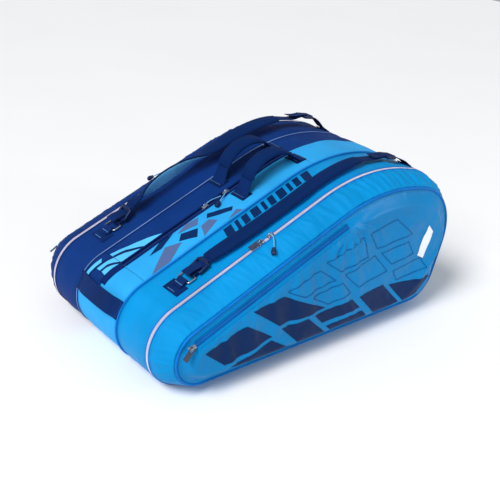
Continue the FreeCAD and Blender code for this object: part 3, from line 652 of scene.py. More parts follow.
def off_ground(along):
    """One where the cloth is free, zero where it lies flat on the ground."""
    points, _ = outline_at(along)
    return smooth(points[..., 1], 3, 45)


def crown(across, low, high):
    """The rounding of a strip of cloth between its two seams."""
    share = np.clip((across - low) / (high - low), 0, 1)
    return 1 - np.abs(2 * share - 1) ** 3


def under_anchors(along, across):
    """One where a strap's anchor pulls the cloth flat, zero away from it."""
    measure = slope_measure(along)
    near_low = smooth(measure, 8, 30) * (1 - smooth(measure, 92, 116))
    near_high = smooth(measure, 592, 614) * (1 - smooth(measure, 660, 682))
    near_strap = 1 - smooth(np.abs(np.abs(across) - STRAP_Y), 20, 34)
    return np.maximum(near_low, near_high) * near_strap


def gusset_lift(low, high, height, seed):
    """Lift of a fixed band of cloth: a low crown with soft unevenness, flat under the straps' anchors."""
    def lift(along, across):
        rounding = crown(across, low, high) * (1 - under_anchors(along, across))
        waves = ripple(along, across, 55, 34, seed) * 2.0 + ripple(along, across, 17, 40, seed + 3) * 0.7
        return rounding * (height + waves) * off_ground(along)
    return lift


def middle_lift(along, across):
    """Lift of the middle compartment: two crowns beside its zipper, and one where there is no zipper."""
    measure = slope_measure(along)
    near_zip = smooth(measure, -30, FLAP_START) * (1 - smooth(measure, FLAP_END, FLAP_END + 45))
    front = crown(across, FRONT_SEAM_Y + SEAM_HALF, MIDDLE_ZIP_Y - ZIP_HALF)
    rear = crown(across, MIDDLE_ZIP_Y + MIDDLE_TRIM, REAR_SEAM_Y - SEAM_HALF)
    halves = np.where(across < MIDDLE_ZIP_Y, front, rear)
    whole = crown(across, FRONT_SEAM_Y + SEAM_HALF, REAR_SEAM_Y - SEAM_HALF)
    rounding = halves * near_zip + whole * (1 - near_zip)
    waves = ripple(along, across, 70, 40, 11) * 2.4 + ripple(along, across, 20, 44, 12) * 0.8
    return rounding * (1.9 + waves) * off_ground(along)


def cover_lift(side, seed):
    """Lift of an outer gusset: it narrows to the panel, swells, and is creased across the wide end."""
    def lift(along, across):
        share = (side * across - ZIP_Y - ZIP_HALF) / (PANEL_Y - ZIP_Y - ZIP_HALF)
        swell = np.sin(np.clip(share, 0, 1) * math.pi)
        measure = slope_measure(along)
        gathered = 0.7 + 0.7 * smooth(measure, 200, 400) * (1 - smooth(measure, 760, 900))
        folds = 1 - np.abs(ripple(along + across * 0.35, across, 19, 120, seed)) * 2
        creases = (folds ** 3 - 0.5) * 3.2 * gathered
        creases = creases + ripple(along, across, 9, 60, seed + 2) * 1.5 * gathered
        waves = ripple(along, across, 48, 40, seed + 5) * 3.0
        soft = off_ground(along)
        return -TAPER * share + (swell * (5.0 + waves) + np.sqrt(np.maximum(swell, 0)) * creases) * soft
    return lift


def even_lift(height):
    """One lift all over."""
    return lambda along, across: np.full(along.shape, height)


def half_lining(first, second=None):
    """Slots of a lined piece: each outer cloth is followed by its lining."""
    return [first, LINING] + ([second, LINING] if second else [])


GUSSET_LIFT = {"front": gusset_lift(-ZIP_Y + ZIP_HALF + 0.5, FRONT_SEAM_Y - SEAM_HALF, 1.6, 1),
               "rear": gusset_lift(REAR_SEAM_Y + SEAM_HALF, ZIP_Y - ZIP_HALF - 0.5, 1.6, 2)}
COVER_LIFT = {"front": cover_lift(-1, 21), "rear": cover_lift(1, 31)}


def fixed_bands():
    """The inner gussets and the shell of the middle compartment."""
    front = band("inner_gusset_front", 0, AROUND, -ZIP_Y + ZIP_HALF + 0.5, FRONT_SEAM_Y - SEAM_HALF,
                 GUSSET_LIFT["front"], half_lining(MID_BLUE), closed=True, lining=1)
    rear = band("inner_gusset_rear", 0, AROUND, REAR_SEAM_Y + SEAM_HALF, ZIP_Y - ZIP_HALF - 0.5,
                GUSSET_LIFT["rear"], half_lining(NAVY), closed=True, lining=1)

    def two_tone(along, across):
        navy = across > MIDDLE_ZIP_Y + 4 and slope_measure(along) > -64
        return 2 if navy else 0

    shell = band("middle_shell_cloth", FLAP_END + 0.2, AROUND + FLAP_START - 0.2,
                 FRONT_SEAM_Y + SEAM_HALF, REAR_SEAM_Y - SEAM_HALF, middle_lift,
                 half_lining(LIGHT_BLUE, NAVY), pick=two_tone, lining=1, step=3.9)
    for obj, node in ((front, "front_inner_gusset"), (rear, "rear_inner_gusset"), (shell, "middle_shell")):
        settle(obj, "bag_core", nodes=[node])


def flaps():
    """The two flaps over the middle compartment."""
    edges = {"front": (FRONT_SEAM_Y + SEAM_HALF + 0.3, MIDDLE_ZIP_Y - ZIP_HALF, LIGHT_BLUE),
             "rear": (MIDDLE_ZIP_Y + MIDDLE_TRIM, REAR_SEAM_Y - SEAM_HALF - 0.3, NAVY)}
    for side, (low, high, cloth) in edges.items():
        flap = band(f"{side}_flap_cloth", FLAP_START, FLAP_END, low, high, middle_lift, half_lining(cloth),
                    lining=1, step=3.9)
        settle(flap, f"{side}_flap_body", nodes=[f"{side}_flap"])


def fold_with_cover(obj):
    """Bake a piece's placement into its mesh."""
    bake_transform(obj)


def outer_gussets():
    """The creased outer gussets."""
    for side, sign in SIDES:
        low, high = sorted((sign * (ZIP_Y + ZIP_HALF), sign * PANEL_Y))
        gusset = band(f"{side}_outer_gusset_cloth", 0, AROUND, low, high, COVER_LIFT[side],
                      half_lining(OUTER_CLOTH[side]), closed=True, lining=1, step=3.0)
        settle(gusset, nodes=[f"{side}_outer_gusset", f"{side}_bottom_strip"])
        fold_with_cover(gusset)


# ---------------------------------------------------------------- zippers and piping
def teeth(name, alongs, across, lift, half_width, material):
    """Zipper coil as rounded teeth lying across the tape."""
    vertices = []
    faces = []
    up = outward(alongs)
    centres = place(alongs, across, lift)
    ahead = np.cross(SIDEWAYS, up)
    for centre, normal, forward in zip(centres, up, ahead):
        base = len(vertices)
        for end, reach in ((-1, 0.55), (-0.86, 1.0), (0.86, 1.0), (1, 0.55)):
            for side, rise in ((-0.55, 0), (-0.3, 0.6), (0.3, 0.6), (0.55, 0)):
                vertices.append(centre + np.array([0, end * half_width, 0])
                                + forward * side * reach + normal * rise * reach)
        for ring in range(3):
            for k in range(3):
                corner = base + ring * 4 + k
                faces.append((corner, corner + 4, corner + 5, corner + 1))
        faces.append((base, base + 1, base + 2, base + 3))
        faces.append((base + 15, base + 14, base + 13, base + 12))
    return make(name, vertices, faces, [material])


def zipper(name, start, end, across, tape_material, coil_material, half=ZIP_HALF):
    """A closed zipper over the outline: two tapes that meet at a coil."""
    tapes = []
    for side in (-1, 1):
        low, high = sorted((across + side * 0.3, across + side * half))
        tapes.append(band(f"{name}_tape", start, end, low, high, even_lift(0.35), [tape_material],
                          step=2.6, thickness=0.9))
    stations = spread(start + 1, end - 1, 1.7)
    tapes.append(teeth(f"{name}_teeth", stations, across, 0.35, half * 0.55, coil_material))
    return joined(name, tapes)


def ring_path(across, lift, least_height, start=0.0, end=AROUND, step=4.0):
    """Points round the bag at one station, kept a height off the ground."""
    stations = spread(start, end, step)[:-1]
    path = place(stations, across, lift)
    path[:, 2] = np.maximum(path[:, 2], least_height)
    return path


def main_zippers():
    """The long zippers of the outer compartments, with a folded lip of cloth along each side."""
    toe_side = BOTTOM_START - ZIP_STOP
    heel_side = BOTTOM_START + RUNS[6][2] + ZIP_STOP
    for side, sign in SIDES:
        across = sign * ZIP_Y
        low, high = sorted((sign * (ZIP_Y - ZIP_HALF - 2), sign * (ZIP_Y + ZIP_HALF + 2)))
        joining = band(f"{side}_joining_strip", toe_side, heel_side, low, high,
                       even_lift(-1.4), half_lining(OUTER_CLOTH[side]), lining=1)
        fold_with_cover(joining)
        closing = zipper(f"{side}_main_zipper", heel_side, AROUND + toe_side, across, TAPE_WHITE, COIL_WHITE)
        settle(closing, nodes=[f"{side}_zip_coil"])
        fold_with_cover(closing)
        fixed_lip = tube(f"{side}_zip_lip_inner", ring_path(sign * (ZIP_Y - ZIP_HALF - 0.9), 0.2, 1.2), 1.3,
                         ROLL_CLOTH[side], closed=True)
        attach(fixed_lip, "bag_core")
        moving_lip = tube(f"{side}_zip_lip_outer", ring_path(sign * (ZIP_Y + ZIP_HALF + 0.9), -0.2, 1.2), 1.3,
                          ROLL_CLOTH[side], closed=True)
        fold_with_cover(moving_lip)


def middle_zipper():
    """The straight zipper between the flaps, in a navy trim that runs on to the narrow end."""
    closing = zipper("middle_zipper", FLAP_START, FLAP_END, MIDDLE_ZIP_Y, TAPE_NAVY, COIL_NAVY)
    settle(closing, "front_flap_body", nodes=["middle_zip_coil"])


def seams():
    """Piping along the seams and round the panels."""
    for side, across, radius, cloth in (("front", FRONT_SEAM_Y, 2.3, PIPING_BLUE),
                                        ("rear", REAR_SEAM_Y, 1.2, PIPING_PALE)):
        base = tube(f"{side}_seam_roll", ring_path(across, -0.6, 2.4), 2.4, OUTER_CLOTH[side], closed=True)
        cord_line = tube(f"{side}_seam_piping_cord", ring_path(across, 1.0, radius), radius, cloth,
                         closed=True)
        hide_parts(f"{side}_seam_piping")
        for obj in (base, cord_line):
            settle(obj, "bag_core")
    for side, sign in SIDES:
        path = ring_path(sign * (PANEL_Y + 1.2), -PIPING_INSET, 0)
        roll = tube(f"{side}_panel_piping_cord", path, 3.0, ROLL_CLOTH[side], closed=True)
        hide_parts(f"{side}_panel_piping")
        fold_with_cover(roll)


def seam_row(name, across, lift, thread, start=0.0, end=AROUND):
    """One row of topstitching over cloth beside a seam."""
    stations = spread(start, end, 4)
    rise = lift(stations, np.full(len(stations), float(across)))
    path = place(stations, across, rise + 0.15)
    path[:, 2] = np.maximum(path[:, 2], 0.4)
    return stitches(name, path, outward(stations), thread, pitch=4.2, length=2.9, radius=0.42)


def topstitching():
    """Rows of stitches beside the seams and the long zippers."""
    fixed = {"front": (-ZIP_Y + 11, FRONT_SEAM_Y - 7), "rear": (ZIP_Y - 11, REAR_SEAM_Y + 7)}
    for side, places in fixed.items():
        rows = [seam_row("row", across, GUSSET_LIFT[side], SEAM_THREAD[side]) for across in places]
        whole = joined(f"{side}_gusset_threads", rows)
        settle(whole, "bag_core")
    for side, sign in SIDES:
        row = seam_row(f"{side}_cover_thread", sign * (ZIP_Y + 10), COVER_LIFT[side], SEAM_THREAD[side])
        fold_with_cover(row)
    for side, across in (("front", FRONT_SEAM_Y + 7), ("rear", REAR_SEAM_Y - 7)):
        thread = SEAM_THREAD[side]
        flap_row = seam_row(f"{side}_flap_thread", across, middle_lift, thread, FLAP_START + 2, FLAP_END - 2)
        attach(flap_row, f"{side}_flap_body")
        shell_row = seam_row(f"{side}_shell_thread", across, middle_lift, thread, FLAP_END + 2,
                             AROUND + FLAP_START - 2)
        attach(shell_row, "bag_core")


# ---------------------------------------------------------------- panels and pockets
def triangulated(border, inner, tolerance):
    """Points and faces of a flat triangle mesh with a closed border and points inside it."""
    points = [Vector(p) for p in list(border) + list(inner)]
    edges = [(i, (i + 1) % len(border)) for i in range(len(border))]
    found = delaunay_2d_cdt(points, edges, [], 1, tolerance)
    return np.array([tuple(p) for p in found[0]]), [tuple(face) for face in found[2]]


def membrane_points(inset, spacing):
    """An even triangle mesh inside the outline, and how far each point lies from its rim."""
    border, normals = outline_at(spread(0, AROUND, spacing)[:-1])
    border = border - normals * inset
    low = border.min(axis=0)
    high = border.max(axis=0)
    dense, dense_normals = outline_at(spread(0, AROUND, 1.5)[:-1])
    dense = dense - dense_normals * inset
    grid = []
    rows = int((high[1] - low[1]) / (spacing * 0.866)) + 1
    for row in range(rows):
        shift = spacing / 2 if row % 2 else 0
        for x in np.arange(low[0] + shift, high[0], spacing):
            grid.append((x, low[1] + row * spacing * 0.866))
    grid = np.array(grid)
    gap = grid[:, None, :] - dense[None, ::3, :]
    nearest = np.argmin(np.sum(gap ** 2, axis=2), axis=1)
    inside = np.sum((dense[::3][nearest] - grid) * dense_normals[::3][nearest], axis=1)
    grid = grid[inside > spacing * 0.6]
    flat, faces = triangulated(border, grid, 0.001)
    gap = flat[:, None, :] - dense[None, :, :]
    depth = np.sqrt(np.min(np.sum(gap ** 2, axis=2), axis=1))
    return flat, depth, faces


def facing(faces, flat, sign):
    """The faces, each turned so that it faces out of the front or the rear."""
    turned = []
    for face in faces:
        a, b, c = (flat[i] for i in face[:3])
        clockwise = (b[0] - a[0]) * (c[1] - a[1]) - (b[1] - a[1]) * (c[0] - a[0]) < 0
        turned.append(face if clockwise == (sign > 0) else tuple(reversed(face)))
    return turned


def crumple(obj, rim, freedom, cap, growth, frames):
    """Cloth simulation of a panel sewn down at its rim: it has grown a little, so it buckles softly.
    Freedom is each point's share of the movement, and cap the most that any point moves."""
    before = np.array([v.co for v in obj.data.vertices])
    pinned = obj.vertex_groups.new(name="rim")
    pinned.add([int(i) for i in rim], 1.0, "REPLACE")
    cloth = obj.modifiers.new("cloth", "CLOTH")
    settings = cloth.settings
    settings.quality = 5
    settings.mass = 0.35
    settings.tension_stiffness = 14
    settings.compression_stiffness = 14
    settings.shear_stiffness = 6
    settings.bending_stiffness = 0.6
    settings.air_damping = 3
    settings.vertex_group_mass = "rim"
    settings.shrink_min = -growth
    settings.shrink_max = -growth
    settings.use_pressure = True
    settings.uniform_pressure_force = 0.6
    settings.effector_weights.gravity = 0.5
    cloth.collision_settings.use_self_collision = False
    scene = bpy.context.scene
    cloth.point_cache.frame_start = 1
    cloth.point_cache.frame_end = frames
    for step in range(1, frames + 1):
        scene.frame_set(step)
    bake(obj)
    scene.frame_set(1)
    after = np.array([v.co for v in obj.data.vertices])
    move = after - before
    reach = np.linalg.norm(move, axis=1)
    limit = cap * MM
    share = freedom * limit * np.tanh(reach / limit) / np.maximum(reach, 1e-9)
    obj.data.vertices.foreach_set("co", (before + move * share[:, None]).ravel())
    obj.data.update()


def refine(obj):
    """Subdivide and smooth a mesh once its shape is set."""
    finer = obj.modifiers.new("finer", "SUBSURF")
    finer.levels = 1
    finer.render_levels = 1
    return bake(obj)


def pocket_height(flat, depth, seed):
    """How far a pocket stands out of its panel: a slanted rim, then a low uneven dome."""
    rise = np.sin(np.clip((depth - RIM_FLAT) / POCKET_RISE, 0, 1) * math.pi / 2) ** 1.6
    waves = ripple(flat[:, 0], flat[:, 1], 90, 60, seed) * 5
    waves = waves + ripple(flat[:, 0], flat[:, 1], 34, 24, seed + 1) * 1.5
    leaning = 1 - np.abs(ripple(flat[:, 0] + flat[:, 1], flat[:, 1] - flat[:, 0], 46, 150, seed + 2)) * 2
    waves = waves + (leaning ** 4 - 0.4) * 2.4
    return POCKET_DEPTH * rise + smooth(depth, 22, 60) * (1.2 + waves) + puckers(flat) * smooth(depth, 20, 34)


def zip_line(step=3.0):
    """Points of the pocket's zipper as x and z, and the outline's normals beside them."""
    points, normals = outline_at(spread(POCKET_ZIP_START, POCKET_ZIP_END, step))
    return points - normals * POCKET_ZIP_INSET, normals


def puckers(flat):
    """Small folds that fan out from the upper end of the pocket's zipper."""
    points, _ = zip_line()
    gap = flat - points[-1]
    reach = np.linalg.norm(gap, axis=1)
    angle = np.arctan2(gap[:, 1], gap[:, 0])
    fan = np.sin(angle * 13 + ripple(flat[:, 0], flat[:, 1], 30, 30, 77) * 4)
    return 3.4 * fan * np.exp(-((reach - 44) / 26) ** 2)


def held_down(flat, depth):
    """Points of a pocket that are sewn: its rim and the two sides of its zipper."""
    points, _ = zip_line(step=4.0)
    gap = np.linalg.norm(flat[:, None, :] - points[None, :, :], axis=2).min(axis=1)
    return np.nonzero((depth < 4) | (gap < 8))[0]


def panels():
    """End panels with the domed pockets on them."""
    flat, depth, faces = membrane_points(RIM_INSET, 6.0)
    for side, sign, seed in (("front", -1, 41), ("rear", 1, 47)):
        turned = facing(faces, flat, sign)
        uvs = [flat[i] for face in turned for i in face]
        heights = PANEL_Y + 2.5 + pocket_height(flat, depth, seed)
        points = np.stack([flat[:, 0], sign * heights, flat[:, 1]], axis=1)
        pocket = make(f"{side}_pocket_cloth", points, turned, [POCKET_CLOTH[side]], uvs)
        crumple(pocket, held_down(flat, depth), smooth(depth, 4, 24), 5, 0.04, 26)
        refine(pocket)
        fold_with_cover(pocket)
        settle(pocket, nodes=[f"{side}_pocket"])
        waves = PANEL_Y + 0.4 + ripple(flat[:, 0], flat[:, 1], 80, 60, seed + 9) * 2 * smooth(depth, 30, 60)
        back_points = np.stack([flat[:, 0], sign * waves, flat[:, 1]], axis=1)
        back = make(f"{side}_panel_cloth", back_points, facing(faces, flat, -sign), [LINING], uvs)
        thicken(back, 2)
        fold_with_cover(back)
        settle(back, nodes=[f"{side}_panel"])
        pocket_zipper(side, sign, pocket)
        pocket_prints(side, sign, pocket)


# ---------------------------------------------------------------- blocks of moulded and cast pieces
def frame_of(along, across, lift):
    """A place on the bag's outside with its directions: up the slope, across it and outward."""
    origin = place(along, across, lift)
    up = outward(np.asarray(along))
    ahead = np.cross(SIDEWAYS, up)
    return origin, ahead, SIDEWAYS, up


def block(name, where, size, material, shift=(0, 0, 0), bevel=0.8, taper=1.0):
    """A bevelled block in a local frame; its far end is narrowed by the taper."""
    origin, ahead, across, up = where
    vertices = []
    for a in (-0.5, 0.5):
        narrowing = taper if a > 0 else 1.0
        for b, c in ((-0.5, -0.5), (0.5, -0.5), (0.5, 0.5), (-0.5, 0.5)):
            vertices.append(origin + ahead * (a * size[0] + shift[0])
                            + across * (b * size[1] * narrowing + shift[1]) + up * (c * size[2] + shift[2]))
    faces = [(0, 3, 2, 1), (4, 5, 6, 7), (0, 1, 5, 4), (1, 2, 6, 5), (2, 3, 7, 6), (3, 0, 4, 7)]
    obj = make(name, vertices, faces, [material])
    rounding = obj.modifiers.new("bevel", "BEVEL")
    rounding.width = bevel * MM
    rounding.segments = 3
    return bake(obj)


def loop_of_wire(name, where, length, width, corner, radius, material, sides=12):
    """A closed rectangular ring of round wire with rounded corners."""
    origin, ahead, across, up = where
    path = []
    centres = ((1, 1, 0), (-1, 1, 90), (-1, -1, 180), (1, -1, 270))
    for sign_a, sign_b, first in centres:
        for turn in np.linspace(first, first + 90, 7):
            a = sign_a * (length / 2 - corner) + corner * math.cos(math.radians(turn))
            b = sign_b * (width / 2 - corner) + corner * math.sin(math.radians(turn))
            path.append(origin + ahead * a + across * b)
    path = np.array(path)
    steps = np.roll(path, -1, axis=0) - np.roll(path, 1, axis=0)
    sideways = unit(np.cross(steps, up))
    ups = np.tile(up, (len(path), 1))
    sections = [round_section(radius, sides)] * len(path)
    return sweep(name, path, sideways, ups, sections, material, closed=True)


def strip(name, stops, across, width, thickness, material, twist=0.0):
    """Webbing through stops given as (along, lift), lying across the bag at one station."""
    route = rounded_line(stops)
    path = place(route[:, 0], across, route[:, 1])
    ahead, level, ups = directions(path)
    turn = math.radians(twist)
    sides = level * math.cos(turn) + ups * math.sin(turn)
    ups = np.cross(ahead, sides)
    return sweep(name, path, sides, ups, [flat_section(width, thickness, 0.3)] * len(path), material)


# ---------------------------------------------------------------- shoulder straps
def strap_line(side):
    """Stops of a strap: along, lift of its middle, twist in degrees, width, thickness."""
    low = along_at(PAD_LOW_X) + 4
    span = along_at(PAD_HIGH_X) - 2 - low
    if side == "front":
        shape = ((0.0, 12.5, 0, 26, 6), (0.05, 12.3, 1, 31, 8), (0.14, 11.6, 2, 34, 9), (0.3, 11.2, 3, 34, 9),
                 (0.5, 11.0, 3, 34, 9), (0.7, 11.2, 3, 34, 9), (0.86, 11.6, 2, 34, 9),
                 (0.95, 12.2, 1, 31, 8), (1.0, 12.5, 0, 26, 6))
    else:
        shape = ((0.0, 24.5, 0, 26, 6), (0.05, 26.0, 24, 34, 7), (0.12, 29.5, 56, 40, 8),
                 (0.22, 32.0, 68, 41, 8), (0.33, 31.5, 62, 41, 8), (0.42, 29.0, 42, 41, 9),
                 (0.5, 27.0, 16, 41, 9), (0.62, 25.0, 4, 40, 9), (0.86, 24.6, 0, 40, 9),
                 (0.95, 24.5, 0, 36, 8), (1.0, 24.5, 0, 26, 6))
    return [(low + share * span, lift, twist, width, thickness)
            for share, lift, twist, width, thickness in shape]


def strap_frames(side):
    """Path of a strap pad with its side and up directions, and its width and thickness along the way."""
    sign = dict(SIDES)[side]
    route = rounded_line(strap_line(side))
    share = (route[:, 0] - route[0, 0]) / (route[-1, 0] - route[0, 0])
    bow = STRAP_BOW[side] * np.sin(math.pi * share)
    path = place(route[:, 0], sign * (STRAP_Y + bow), route[:, 1])
    ahead, level, ups = directions(path)
    turns = np.radians(route[:, 2])[:, None]
    sides = level * np.cos(turns) - ups * np.sin(turns)
    ups = np.cross(ahead, sides)
    return path, ahead, sides, ups, route[:, 3], route[:, 4]


def strap_pad(side):
    """Padded part of a strap: a domed cloth top, a mesh underside, bound edges and stitched rows."""
    path, _, sides, ups, widths, depths = strap_frames(side)
    sections = []
    for width, depth in zip(widths, depths):
        outline = []
        for across, up in flat_section(width, depth, 0.5, PAD_RING):
            dome = 0.16 * depth * (1 - (2 * across / width) ** 2)
            groove = 0.5 * math.exp(-((abs(across) - width / 2 + STITCH_INSET) / 1.4) ** 2)
            outline.append((across, up + (dome - groove if up > 0 else dome * 0.3)))
        sections.append(outline)
    pad = sweep(f"{side}_strap_pad_cloth", path, sides, ups, sections, PAD_CLOTH)
    pad.data.materials.append(PAD_MESH)
    for face in pad.data.polygons:
        around = face.index % PAD_RING
        if face.index < PAD_RING * (len(path) - 1) and PAD_RING / 2 < around < PAD_RING - 1:
            face.material_index = 1
    settle(pad, f"{side}_strap_body", nodes=[f"{side}_strap_pad"])
    for which, edge in EDGES:
        line = path + sides * (edge * (widths / 2 - BINDING_INSET))[:, None]
        bound = tube(f"{side}_strap_binding_{which}", line, 1.9, BINDING)
        settle(bound, f"{side}_strap_body")
        dome = depths / 2 + 0.16 * depths * (1 - ((widths / 2 - STITCH_INSET) / (widths / 2)) ** 2) - 0.55
        row = path + sides * (edge * (widths / 2 - STITCH_INSET))[:, None] + ups * dome[:, None]
        thread = stitches(f"{side}_strap_thread_{which}", row[6:-6], ups[6:-6], THREAD_NAVY, pitch=3.4)
        settle(thread, f"{side}_strap_body")


def ladder_lock(name, where):
    """Moulded lock: two side rails, three bars that the webbing turns round, and a thumb lip."""
    pieces = []
    for edge in (-1, 1):
        pieces.append(block(f"{name}_rail", where, (26, 4, 6), HARD_BLACK, (0, edge * 15, 0), 1.4))
    for shift, height, thickness in ((-11, 0, 5.2), (0, 2.0, 1.9), (10.4, 0.3, 5.6)):
        pieces.append(block(f"{name}_bar", where, (4.2, 28, thickness), HARD_BLACK, (shift, 0, height), 0.9))
    pieces.append(block(f"{name}_lip", where, (5.5, 26, 1.8), HARD_BLACK, (13.5, 0, 3.1), 0.8, 0.86))
    pieces.append(block(f"{name}_plate", where, (20, 27, 1.2), HARD_BLACK, (0, 0, -2.2), 0.5))
    return joined(name, pieces)


def middle_frame(start, end, across):
    """Local frame at the middle of a straight run between two (along, lift) places."""
    first = place(start[0], across, start[1])
    last = place(end[0], across, end[1])
    ahead = (last - first) / np.linalg.norm(last - first)
    return (first + last) / 2, ahead, SIDEWAYS, np.cross(ahead, SIDEWAYS)


def strap_webbing(side):
    """Webbing at both ends of a strap, its loose tails, and the locks it runs through."""
    sign = dict(SIDES)[side]
    body = f"{side}_strap_body"
    middle = STRAP_LIFT[side]
    across = sign * STRAP_Y
    pad_low = along_at(PAD_LOW_X)
    pad_high = along_at(PAD_HIGH_X)
    lock_along = along_at(LOCK_X - middle * 0.2)
    anchor = along_on_wide_top(64)
    low_lock = ladder_lock(f"{side}_low_lock", middle_frame((80, 6), (pad_low, middle), across))
    high_lock = ladder_lock(f"{side}_high_lock", frame_of(lock_along, across, middle))
    locks = joined(f"{side}_ladder_locks", [low_lock, high_lock])
    settle(locks, body, nodes=[f"{side}_strap_ladder_locks"])
    half = (pad_low + 80) / 2
    half_lift = (middle + 6) / 2
    low_stops = [(pad_low + 18, middle), (pad_low + 6, middle), (half + 8, half_lift + 1),
                 (half - 8, half_lift - 1), (82, 7.6), (76, 8.0), (72.2, 5.2), (75.4, 2.2), (81, 3.4),
                 (88, 5.0)]
    low = strip(f"{side}_low_webbing", low_stops, across, WEBBING_WIDTH, 1.7, WEBBING)
    low_tail = strip(f"{side}_low_tail", [(half + 2, half_lift + 3.2), (half - 10, half_lift + 4.5),
                                          (half - 22, half_lift + 6.5), (half - 33, half_lift + 6.0)],
                     across, 23, 1.6, WEBBING, twist=-6 * sign)
    high = strip(f"{side}_high_webbing", [(pad_high - 16, middle), (pad_high, middle),
                                          (pad_high + 38, middle - 0.22 * middle), (lock_along - 16, middle),
                                          (lock_along + 16, middle), (lock_along + 34, middle * 0.82),
                                          (anchor - 14, 7.5), (anchor, 4.5), (anchor + 12, 3.2)],
                 across, WEBBING_WIDTH, 1.7, WEBBING)
    high_tail = strip(f"{side}_high_tail", [(lock_along - 2, middle + 3.2), (lock_along - 16, middle + 3.6),
                                            (lock_along - 32, middle + 1.6), (lock_along - 50, middle + 2.6)],
                      across, 23, 1.6, WEBBING, twist=4 * sign)
    tails = joined(f"{side}_strap_tails", [low_tail, high_tail])
    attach(tails, body)
    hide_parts(f"{side}_strap_webbing")
    for run, held, free in ((low, (77, 5), (96, 9)), (high, (anchor - 2, 5), (anchor - 30, middle * 0.8))):
        Vector(place(held[0], across, held[1])) * MM
        Vector(place(free[0], across, free[1])) * MM
        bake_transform(run)


def sewn_patch(name, start, end, low, high, lift, material, thickness=1.6):
    """A patch of webbing cloth sewn down on the bag, following the cloth under it."""
    def raised(along, across):
        return lift(along, across) + thickness
    return band(name, start, end, low, high, raised, [material], step=2.5, thickness=thickness)


def bartack(name, along, across, lift, length, material):
    """A dense bar of stitching across a patch."""
    shifts = np.linspace(-length / 2, length / 2, int(length) + 1)
    rows = []
    for shift in shifts:
        ends = place(np.array([along - 0.9, along + 0.9]), across + shift, lift)
        ups = outward(np.array([along, along]))
        rows.append(stitches(name, ends, ups, material, pitch=1.8, length=1.8, radius=0.42))
    return joined(name, rows)


def strap_anchors():
    """Patches and loops of webbing that hold the straps, and the rings in the lower loops."""
    lows = []
    highs = []
    rings = []
    threads = []
    high_patch = along_on_wide_top(58)
    high_loop = along_on_wide_top(62)
    for side, sign in SIDES:
        lift = GUSSET_LIFT[side]
        across = sign * STRAP_Y
        lows.append(sewn_patch(f"{side}_low_patch", 24, 51, across - 22, across + 22, lift, WEBBING))
        lows.append(strip(f"{side}_low_loop", [(40, 3.4), (48, 2.8), (54, 2.0), (58.5, 2.0), (60.4, 5.0),
                                               (57.5, 8.2), (53, 6.6), (47, 4.6), (40, 4.2)],
                          across, WEBBING_WIDTH, 1.6, WEBBING))
        highs.append(sewn_patch(f"{side}_high_patch", high_patch - 13, high_patch + 14,
                                across - 21, across + 21, lift, WEBBING))
        highs.append(sewn_patch(f"{side}_high_loop", high_loop - 16, high_loop + 6,
                                across - 12.4, across + 12.4,
                                lambda a, c, under=lift: under(a, c) + 1.6, WEBBING))
        rings.append(loop_of_wire(f"{side}_ring", frame_of(66, across, 4.8), 18.4, 32.4, 3.4, 1.8, METAL))
        for along, height in ((28, 3.6), (46.5, 5.4)):
            threads.append(bartack(f"{side}_low_thread", along, across, height, 20, THREAD_PALE))
        threads.append(bartack(f"{side}_high_thread", high_patch + 10, across, 3.6, 22, THREAD_PALE))
    for pieces, name, node, slot in ((lows, "low_anchors", "strap_low_anchors", "webbing"),
                                     (highs, "high_anchors", "strap_high_anchors", "webbing"),
                                     (rings, "low_rings", "strap_rings", "metal")):
        whole = joined(name, pieces)
        settle(whole, "bag_core", nodes=[node])
    rows = joined("anchor_threads", threads)
    settle(rows, "bag_core")


# ---------------------------------------------------------------- handles
def handle_stops():
    """Stops of a grab handle, as (along, lift), from one foot to the other."""
    half = ((81, 2.8), (72, 4.4), (62, 14.5), (45, 33), (23, 45))
    shape = [(-a, lift) for a, lift in half] + [(0, 48.6)] + [(a, lift) for a, lift in reversed(half)]
    return [(HANDLE_ALONG + a, lift) for a, lift in shape]


